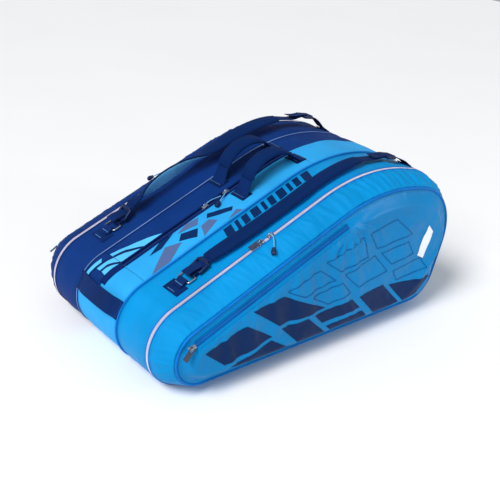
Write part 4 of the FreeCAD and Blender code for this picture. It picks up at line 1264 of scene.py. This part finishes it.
def grab_handle(side):
    """Wide webbing loop with a padded grip, sewn to the flap at both feet."""
    across = HANDLE_Y[side]
    body = f"{side}_handle_body"
    flap = f"{side}_flap_body"
    route = rounded_line(handle_stops())
    path = place(route[:, 0], across, route[:, 1])
    _, level, ups = directions(path)
    reach = np.abs(route[:, 0] - HANDLE_ALONG)
    flare = 33 + 7 * smooth(reach, 56, 78)
    sections = [flat_section(width, 3.0, 0.3) for width in flare]
    loop = sweep(f"{side}_handle_loop", path, level, ups, sections, WEBBING)
    settle(loop, nodes=[f"{side}_handle"])
    foot = Vector(place(HANDLE_ALONG, across, 3.0)) * MM
    shoulder = Vector(place(HANDLE_ALONG, across, 18.0)) * MM
    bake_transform(loop)

    padded = np.nonzero(reach < 52)[0]
    fullness = 1 - smooth(reach[padded], 30, 52)
    depths = 6 + 5.5 * fullness
    grip_sections = []
    for width, depth in zip(35 + 2.5 * fullness, depths):
        outline = [(side_way, up + 0.1 * depth * (1 - (2 * side_way / width) ** 2))
                   for side_way, up in flat_section(width, depth, 0.6, PAD_RING)]
        grip_sections.append(outline)
    grip = sweep(f"{side}_handle_grip_pad", path[padded], level[padded], ups[padded], grip_sections,
                 PAD_CLOTH)
    settle(grip, body, nodes=[f"{side}_handle_grip"])
    for which, edge in EDGES:
        line = path[padded] + level[padded] * edge * 17.4
        bound = tube(f"{side}_grip_binding_{which}", line, 1.7, BINDING)
        settle(bound, body)
        top = depths / 2 + 0.1 * depths * (1 - (24 / 36) ** 2) - 0.15
        row = path[padded] + level[padded] * edge * 12 + ups[padded] * top[:, None]
        thread = stitches(f"{side}_grip_thread_{which}", row[4:-4], ups[padded][4:-4], THREAD_NAVY, pitch=3.2)
        settle(thread, body)

    feet = []
    threads = []
    for end in (-1, 1):
        middle = HANDLE_ALONG + end * HANDLE_FOOT
        feet.append(sewn_patch(f"{side}_foot", middle - 13, middle + 13, across - 20.5, across + 20.5,
                               middle_lift, BINDING))
        for shift in (-10, 8):
            row_y = np.linspace(across - 18, across + 18, 24)
            row_along = middle + end * shift
            row = place(row_along, row_y, middle_lift(np.full(24, row_along), row_y) + 3.9)
            ups_row = np.tile(outward(np.array(middle)), (24, 1))
            threads.append(stitches(f"{side}_foot_thread", row, ups_row, THREAD_PALE, pitch=3.0, radius=0.5))
    whole = joined(f"{side}_feet", feet)
    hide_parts(f"{side}_handle_feet")
    rows = joined(f"{side}_feet_threads", threads)
    for obj, slot in ((whole, "webbing"), (rows, "cord")):
        settle(obj, flap)


def end_handle():
    """Flat webbing handle across the narrow end, sewn down beside both seams."""
    reach = (-68, -60, -50, -40, -20, 5, 30, 50, 60, 70, 78)
    lifts = (2.6, 2.6, 4.6, 8.6, 10.6, 11.0, 10.6, 8.6, 4.6, 2.6, 2.6)
    stops = rounded_line([(y, lift) for y, lift in zip(reach, lifts)])
    origin, ahead, _, up = frame_of(END_HANDLE_ALONG, 0, 0)
    path = origin + np.outer(stops[:, 0], SIDEWAYS) + np.outer(stops[:, 1], up)
    sides = np.tile(ahead, (len(path), 1))
    ups = np.cross(sides, unit(np.gradient(path, axis=0)))
    strap = sweep("end_handle_webbing", path, sides, ups, [flat_section(37, 3.2, 0.3)] * len(path), WEBBING)
    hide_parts("end_handle")
    threads = []
    for y in (-66, -54, 64, 76):
        row = origin + np.outer(np.linspace(-15, 15, 12), ahead) + np.array([0.0, y, 0.0]) + up * 4.4
        threads.append(stitches("end_handle_thread", row, np.tile(up, (12, 1)), THREAD_BLUE, pitch=3.0,
                                radius=0.5))
    rows = joined("end_handle_threads", threads)
    for obj, slot in ((strap, "webbing"), (rows, "cord")):
        settle(obj, "bag_core")


# ---------------------------------------------------------------- sliders, links, cords
def slider(name, where, node, body):
    """Cast zipper slider: two tapered plates, a neck between them and a bridge on top."""
    pieces = [block(f"{name}_lower", where, (14.5, 10.5, 1.2), METAL, (0, 0, 0.8), 0.5, 0.72),
              block(f"{name}_upper", where, (13, 9.5, 1.3), METAL, (0, 0, 3.0), 0.6, 0.66),
              block(f"{name}_neck", where, (4, 3, 2.4), METAL, (-4.5, 0, 1.9), 0.4)]
    origin, ahead, _, up = where
    arch = rounded_line([(-4.6, 3.2), (-4.0, 6.2), (-1.6, 7.9), (1.6, 7.9), (4.0, 6.2), (4.6, 3.2)])
    path = origin + np.outer(arch[:, 0], ahead) + np.outer(arch[:, 1], up)
    pieces.append(tube(f"{name}_bridge", path, 0.8, METAL))
    whole = joined(name, pieces)
    settle(whole, body, nodes=[node])


def free_cord(name, stops, node, body):
    """A thin cord along stops given as (along, across, lift)."""
    points = [place(*stop) * MM for stop in stops]
    curve = bpy.data.curves.new(name, "CURVE")
    curve.dimensions = "3D"
    curve.bevel_depth = 1.1 * MM
    curve.bevel_resolution = 3
    curve.use_fill_caps = True
    line = curve.splines.new("NURBS")
    line.points.add(len(points) - 1)
    for control, point in zip(line.points, points):
        control.co = (*point, 1.0)
    line.order_u = 3
    line.use_endpoint_u = True
    line.resolution_u = 16
    curve.materials.append(CORD_BLUE)
    obj = bpy.data.objects.new(name, curve)
    bpy.context.scene.collection.objects.link(obj)
    settle(obj, body, nodes=[node])
    length = curved_length(points)


def curved_length(points):
    """Length of the smooth line that the controls pull between its two ends."""
    controls = np.array(points)
    bends = [controls[0]]
    bends += [(a + b) / 2 for a, b in zip(controls[1:-2], controls[2:-1])]
    bends.append(controls[-1])
    total = 0.0
    share = np.linspace(0, 1, 60)[:, None]
    for start, pull, end in zip(bends[:-1], controls[1:-1], bends[1:]):
        arc = start * (1 - share) ** 2 + pull * 2 * share * (1 - share) + end * share ** 2
        total += float(np.sum(np.linalg.norm(np.diff(arc, axis=0), axis=1)))
    return total


def cord_cap(name, stops, node, body):
    """Moulded cap on a cord's end, narrow where the cord enters it."""
    last = place(*stops[-1])
    before = place(*stops[-2])
    ahead = (last - before) / np.linalg.norm(last - before)
    up = np.array(SLOPE_NORMAL) - ahead * float(np.dot(np.array(SLOPE_NORMAL), ahead))
    up /= np.linalg.norm(up)
    across = np.cross(up, ahead)
    where = (last, ahead, across, up)
    cap = joined(name, [block(f"{name}_neck", where, (7, 5.5, 5), CAP_NAVY, (3, 0, 0), 1.2, 1.7),
                        block(f"{name}_end", where, (9, 10.5, 7.4), CAP_NAVY, (10, 0, 0), 2.2, 0.85)])
    settle(cap, body, nodes=[node])
    return cap


def pocket_slant(sign):
    """Local frame on the slanted rim of a pocket, at the low end of its zipper."""
    slant = math.atan(RIM_SLOPE)
    up_slope = np.array(SLOPE_DIRECTION)
    normal = np.array(SLOPE_NORMAL)
    out = normal * math.sin(slant) + np.array([0.0, sign * math.cos(slant), 0.0])
    rise = (POCKET_ZIP_INSET - RIM_INSET - RIM_FLAT) * RIM_SLOPE
    origin = place(0, sign * (PANEL_Y + 3 + rise), -POCKET_ZIP_INSET)
    origin = origin + up_slope * POCKET_ZIP_START + out * 1.8
    return origin, up_slope, np.cross(out, up_slope), out


def fittings():
    """Sliders, links and cords of every zipper."""
    outer = [(236, 171.2, 7.8), (234.5, 181, 7.8), (227, 191, 4), (218, 199, 0)]
    middle_low = [(221.2, 10, 7.8), (233, 11, 7.8), (245, 8.5, 6.6), (256, 5.5, 5.8)]
    middle_high = [(273, 8.8, 7.8), (267, 2.5, 8.4), (254, -3.5, 7.6), (242, -8, 7)]
    for side, sign in SIDES:
        for level, along in SLIDER_ALONG.items():
            slider(f"{side}_slider_{level}_cast", frame_of(along, sign * ZIP_Y, 0.6),
                   f"{side}_slider_{level}", f"{side}_slider_{level}_body")
        route = [(along, sign * across, lift) for along, across, lift in outer]
        body = f"{side}_slider_high_body"
        cap = cord_cap(f"{side}_cord_cap_moulded", route, f"{side}_cord_cap", body)
        free_cord(f"{side}_pull_cord", route, f"{side}_cord", body)
        slider(f"{side}_pocket_slider_cast", pocket_slant(sign), f"{side}_pocket_slider",
               f"{side}_pocket_slider_body")
        for link in (f"{side}_link", f"{side}_pocket_link"):
            paint(link, DARK_METAL)
    for level, route in (("low", middle_low), ("high", middle_high)):
        body = f"middle_slider_{level}_body"
        slider(f"middle_slider_{level}_cast", frame_of(MIDDLE_SLIDER_ALONG[level], MIDDLE_ZIP_Y, 0.6),
               f"middle_slider_{level}", body)
        cap = cord_cap("middle_cord_cap_moulded", route, "middle_cord_cap", body) if level == "high" else None
        free_cord(f"middle_pull_cord_{level}", route, f"middle_cord_{level}", body)


def paint(node, material):
    """Finish a CAD piece that keeps its own shape."""
    obj = bpy.data.objects[node]
    obj.data.materials.clear()
    obj.data.materials.append(material)


def dividers():
    """The two lined walls between the compartments."""
    for side in ("front", "rear"):
        paint(f"{side}_divider", LINING)


# ---------------------------------------------------------------- prints
def cut_off(polygon, limit, keep_low):
    """The part of a polygon before or after a distance along its first measure."""
    kept = []
    sign = 1 if keep_low else -1
    for (a0, b0), (a1, b1) in zip(polygon, polygon[1:] + polygon[:1]):
        inside0 = sign * (limit - a0) >= 0
        inside1 = sign * (limit - a1) >= 0
        if inside0:
            kept.append((a0, b0))
        if inside0 != inside1:
            share = (limit - a0) / (a1 - a0)
            kept.append((limit, b0 + share * (b1 - b0)))
    return kept


def draped(name, polygon, place_on, material, spacing=4.0):
    """A print: a polygon in flat measures, cut into small faces and laid on a surface."""
    border = []
    for (a0, b0), (a1, b1) in zip(polygon, polygon[1:] + polygon[:1]):
        steps = max(1, int(math.hypot(a1 - a0, b1 - b0) / spacing))
        border += [(a0 + (a1 - a0) * k / steps, b0 + (b1 - b0) * k / steps) for k in range(steps)]
    low = np.min(border, axis=0)
    high = np.max(border, axis=0)
    inner = [(a, b) for a in np.arange(low[0] + spacing / 2, high[0], spacing)
             for b in np.arange(low[1] + spacing / 2, high[1], spacing)
             if deep_inside(a, b, border, spacing / 3)]
    flat, faces = triangulated(border, inner, 0.0001)
    solid = place_on(flat[:, 0], flat[:, 1])
    uvs = [flat[i] for face in faces for i in face]
    return make(name, solid, faces, [material], uvs)


def deep_inside(a, b, border, margin):
    """Whether a point lies inside a border, at least a margin from it."""
    points = np.array(border)
    ahead = np.roll(points, -1, axis=0)
    if np.min(np.hypot(points[:, 0] - a, points[:, 1] - b)) < margin:
        return False
    crossing = (points[:, 1] > b) != (ahead[:, 1] > b)
    run = points[crossing]
    rise = ahead[crossing] - run
    hits = run[:, 0] + (b - run[:, 1]) * rise[:, 0] / rise[:, 1]
    return int(np.sum(hits > a)) % 2 == 1


def over_cloth(lift, height=0.4):
    """A surface just over a band of cloth, in (along, across) measures."""
    def place_on(along, across):
        return place(along, across, lift(along, across) + height)
    return place_on


def over_mesh(obj, sign, height=0.7):
    """A surface just over a pocket, in (x, z) measures."""
    tree = BVHTree.FromObject(obj, bpy.context.evaluated_depsgraph_get())

    def place_on(xs, zs):
        laid = []
        for x, z in zip(xs, zs):
            start = Vector((x, sign * 320, z)) * MM
            hit, normal, _, _ = tree.ray_cast(start, Vector((0, -sign, 0)))
            if hit is None:
                hit = Vector((x, sign * (PANEL_Y + 3), z)) * MM
                normal = Vector((0, sign, 0))
            outer = normal if normal.y * sign > 0 else -normal
            laid.append(tuple((hit + outer * height * MM) / MM))
        return np.array(laid)
    return place_on


def slanted(start, low, high, width, lean):
    """A parallelogram across a strip of cloth, leaning along it."""
    return [(start, low), (start + width, low), (start + width + lean, high), (start + lean, high)]


def gusset_print():
    """A row of slanted dark bars on the front inner gusset."""
    bars = []
    start = 184
    for count in range(10):
        width = (20, 9, 15)[count % 3]
        bars.append(slanted(start, -104, -76, width, 10))
        start += width + 8
    cloth = over_cloth(GUSSET_LIFT["front"])
    prints = [draped("gusset_print", shape, cloth, PRINT_NAVY, 5) for shape in bars]
    whole = joined("gusset_print_row", prints)
    settle(whole, "bag_core")


def flap_prints():
    """Slashes on the front flap, and pale sweeps on the narrow end of the rear strip."""
    slashes = [([(30, -62), (74, -62), (122, -36), (92, -20)], PRINT_GREY),
               ([(58, -14), (86, -17), (128, 1), (96, 3)], PRINT_NAVY),
               ([(120, -29), (150, -50), (166, -32), (136, -14)], PRINT_NAVY),
               ([(132, -8), (172, -22), (188, -4), (160, 2)], PRINT_GREY),
               ([(160, -60), (206, -44), (196, -28), (174, -32)], PRINT_GREY),
               ([(196, -22), (242, -46), (252, -36), (206, -10)], PRINT_NAVY),
               ([(222, -60), (258, -62), (250, -50)], PRINT_GREY)]
    front = joined("front_flap_print", [draped("flap_print", shape, over_cloth(middle_lift), paint_used, 5)
                                        for shape, paint_used in slashes])
    settle(front, "front_flap_body")

    leaf = [(-62, 20), (0, 20), (60, 20), (116, 20), (88, 33), (60, 45), (30, 56), (0, 64), (-40, 70),
            (-62, 71)]
    bows = [[(-62, 54), (-40, 55), (0, 47), (34, 36), (62, 20), (70, 20), (40, 42), (4, 53), (-40, 61),
             (-62, 60)],
            [(-62, 37), (-44, 38), (-14, 33), (8, 20), (16, 20), (-8, 38), (-44, 44), (-62, 43)]]
    for part, keep_low, body in (("shell", True, "bag_core"), ("flap", False, "rear_flap_body")):
        limit = FLAP_START - 0.6 if keep_low else FLAP_START + 0.4
        pieces = [draped("leaf", cut_off(leaf, limit, keep_low), over_cloth(middle_lift), PRINT_PALE, 5)]
        pieces += [draped("bow", cut_off(bow, limit, keep_low), over_cloth(middle_lift, 0.8), PRINT_NAVY, 4)
                   for bow in bows]
        whole = joined(f"rear_{part}_print", pieces)
        settle(whole, body)


def outlined(polygon, width):
    """A closed outline of even width as quadrilaterals, one for each side."""
    bars = []
    for (x0, z0), (x1, z1) in zip(polygon, polygon[1:] + polygon[:1]):
        length = math.hypot(x1 - x0, z1 - z0)
        nx = -(z1 - z0) / length * width / 2
        nz = (x1 - x0) / length * width / 2
        bars.append([(x0 + nx, z0 + nz), (x0 - nx, z0 - nz), (x1 - nx, z1 - nz), (x1 + nx, z1 + nz)])
    return bars


def pocket_prints(side, sign, pocket):
    """Dark shards low on a pocket, thin outlines above them and one pale mark, all by x and z corners."""
    shards = [[(-306, 100), (-214, 128), (-150, 84), (-262, 62)],
              [(-248, 54), (-150, 76), (-84, 32), (-190, 33)],
              [(-200, 152), (-128, 162), (-14, 104), (-136, 104)],
              [(-128, 94), (-62, 96), (4, 36), (-66, 33)],
              [(-44, 96), (58, 102), (84, 76), (-20, 72)],
              [(-10, 62), (92, 66), (122, 36), (22, 34)],
              [(78, 102), (150, 108), (206, 52), (132, 46)],
              [(172, 100), (306, 86), (262, 54), (222, 48)]]
    outlines = [[(-118, 168), (-40, 192), (4, 160), (-74, 146)],
                [(-24, 204), (76, 232), (92, 186), (16, 176)],
                [(92, 236), (168, 250), (222, 206), (120, 196)],
                [(30, 164), (116, 182), (156, 138), (72, 126)],
                [(-52, 136), (22, 150), (52, 118), (-8, 110)],
                [(136, 182), (214, 190), (232, 158), (168, 150)],
                [(176, 132), (262, 140), (286, 112), (196, 104)]]
    mark = [(248, 150), (270, 138), (292, 194), (276, 212)]
    surface_over = over_mesh(pocket, sign)
    dark, thin, pale = POCKET_PRINTS[side]
    prints = [draped("shard", shape, surface_over, dark, 4.5) for shape in shards]
    for shape in outlines:
        prints += [draped("outline", bar, surface_over, thin, 6) for bar in outlined(shape, 1.5)]
    prints.append(draped("mark", mark, surface_over, pale, 6))
    whole = joined(f"{side}_pocket_print", prints)
    fold_with_cover(whole)


def pocket_zipper(side, sign, pocket):
    """The pocket's zipper: a narrow tape with teeth between two raised lips."""
    surface_over = over_mesh(pocket, sign, 0.0)
    stations = spread(POCKET_ZIP_START, POCKET_ZIP_END, 3.0)
    tape_cloth, coil_plastic = POCKET_ZIP[side]

    def line_at(inset, height):
        points, normals = outline_at(stations)
        flat = points - normals * inset
        laid = surface_over(flat[:, 0], flat[:, 1])
        return laid + surface_normals(laid, normals, sign) * height

    lips = [tube(f"{side}_pocket_lip", line_at(inset, 0.4), 1.2, POCKET_CLOTH[side])
            for inset in (35.3, 48.7)]
    lip_piece = joined(f"{side}_pocket_lips", lips)
    middle = line_at(POCKET_ZIP_INSET, 0.6)
    _, normals = outline_at(stations)
    ups = surface_normals(middle, normals, sign)
    sides = np.cross(unit(np.gradient(middle, axis=0)), ups)
    tape = sweep(f"{side}_pocket_tape", middle, sides, ups, [flat_section(10, 0.8, 0.3)] * len(middle),
                 tape_cloth)
    coil = tube(f"{side}_pocket_coil_row", middle + ups * 0.4, 0.9, coil_plastic)
    zip_piece = joined(f"{side}_pocket_zipper", [tape, coil])
    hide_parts(f"{side}_pocket_coil")
    for obj, slot in ((lip_piece, COATED_SLOT[side]), (zip_piece, "zip_coil")):
        settle(obj, f"{side}_cover")


def surface_normals(points, outline_normals, sign):
    """Outward normals of a pocket's slanted rim under a line of points."""
    slant = math.atan(RIM_SLOPE)
    outer = np.stack([outline_normals[:, 0] * math.sin(slant), np.full(len(points), sign * math.cos(slant)),
                      outline_normals[:, 1] * math.sin(slant)], axis=1)
    return unit(outer)


def middle_trim():
    """Navy trim along the middle zipper, which runs on down to the end handle."""
    stations = spread(FLAP_START + 1, FLAP_END - 1, 4)
    for side, across in (("front", MIDDLE_ZIP_Y - ZIP_HALF - 1.4), ("rear", MIDDLE_ZIP_Y + 8)):
        lip = tube(f"{side}_flap_trim", place(stations, across, 0.9), 2.2, DEEP_NAVY)
        settle(lip, f"{side}_flap_body")
    welt = band("middle_welt", END_HANDLE_ALONG + 20, AROUND + FLAP_START - 1, MIDDLE_ZIP_Y - 7,
                MIDDLE_ZIP_Y + 9, lambda a, c: middle_lift(a, c) + 1.6, [DEEP_NAVY], thickness=1.5)
    settle(welt, "bag_core")


# ---------------------------------------------------------------- camera, light and floor
CAMERA_LENS = 61.4
CAMERA_SENSOR = 36
CAMERA_PLACE = (-1090.3, -1222.3, 933.2)
CAMERA_RIGHT = (0.77097, -0.63238, 0.07550)
CAMERA_BACK = (-0.59374, -0.67081, 0.44439)
FLOOR_HALF = 4000
SKY_COLOUR = (0.95, 0.97, 1.0, 1.0)
SKY_STRENGTH = 0.42
LIT_POINT = (0, 0, 0.16)


def studio():
    """The viewing angle, soft light from above and a pale floor."""
    camera_data = bpy.data.cameras.new("camera")
    camera_data.lens = CAMERA_LENS
    camera_data.sensor_width = CAMERA_SENSOR
    camera = bpy.data.objects.new("camera", camera_data)
    bpy.context.scene.collection.objects.link(camera)
    right = Vector(CAMERA_RIGHT).normalized()
    back = Vector(CAMERA_BACK).normalized()
    up = back.cross(right).normalized()
    turn = Matrix((right, up, back)).transposed().to_4x4()
    camera.matrix_world = Matrix.Translation(Vector(CAMERA_PLACE) * MM) @ turn
    bpy.context.scene.camera = camera

    corners = [(x * FLOOR_HALF, y * FLOOR_HALF, 0) for x, y in ((-1, -1), (1, -1), (1, 1), (-1, 1))]
    floor = make("floor", corners, [(0, 1, 2, 3)], [floor_paint("floor_paint")])

    world = bpy.data.worlds.new("studio")
    world.use_nodes = True
    world.node_tree.nodes["Background"].inputs["Color"].default_value = SKY_COLOUR
    world.node_tree.nodes["Background"].inputs["Strength"].default_value = SKY_STRENGTH
    bpy.context.scene.world = world
    lamps = (("key_light", "AREA", (-2.2, -1.0, 1.9), 0.7, 26),
             ("side_light", "AREA", (2.0, -2.3, 0.72), 0.6, 16),
             ("sky_light", "SUN", (-1.5, -0.2, 2.0), math.radians(22), 2.1))
    for name, kind, position, width, power in lamps:
        light = bpy.data.lights.new(name, kind)
        light.energy = power
        if kind == "SUN":
            light.angle = width
        else:
            light.size = width
        lamp = bpy.data.objects.new(name, light)
        bpy.context.scene.collection.objects.link(lamp)
        aim = Vector(LIT_POINT) - Vector(position)
        turn = aim.to_track_quat("-Z", "Y").to_matrix().to_4x4()
        lamp.matrix_world = Matrix.Translation(Vector(position)) @ turn


# ---------------------------------------------------------------- everything, in order
studio()
fixed_bands()
flaps()
outer_gussets()
main_zippers()
middle_zipper()
seams()
topstitching()
panels()
middle_trim()
gusset_print()
flap_prints()
for strap_side in ("front", "rear"):
    strap_pad(strap_side)
    strap_webbing(strap_side)
    grab_handle(strap_side)
strap_anchors()
end_handle()
fittings()
dividers()

bpy.context.scene.view_settings.view_transform = "Standard"
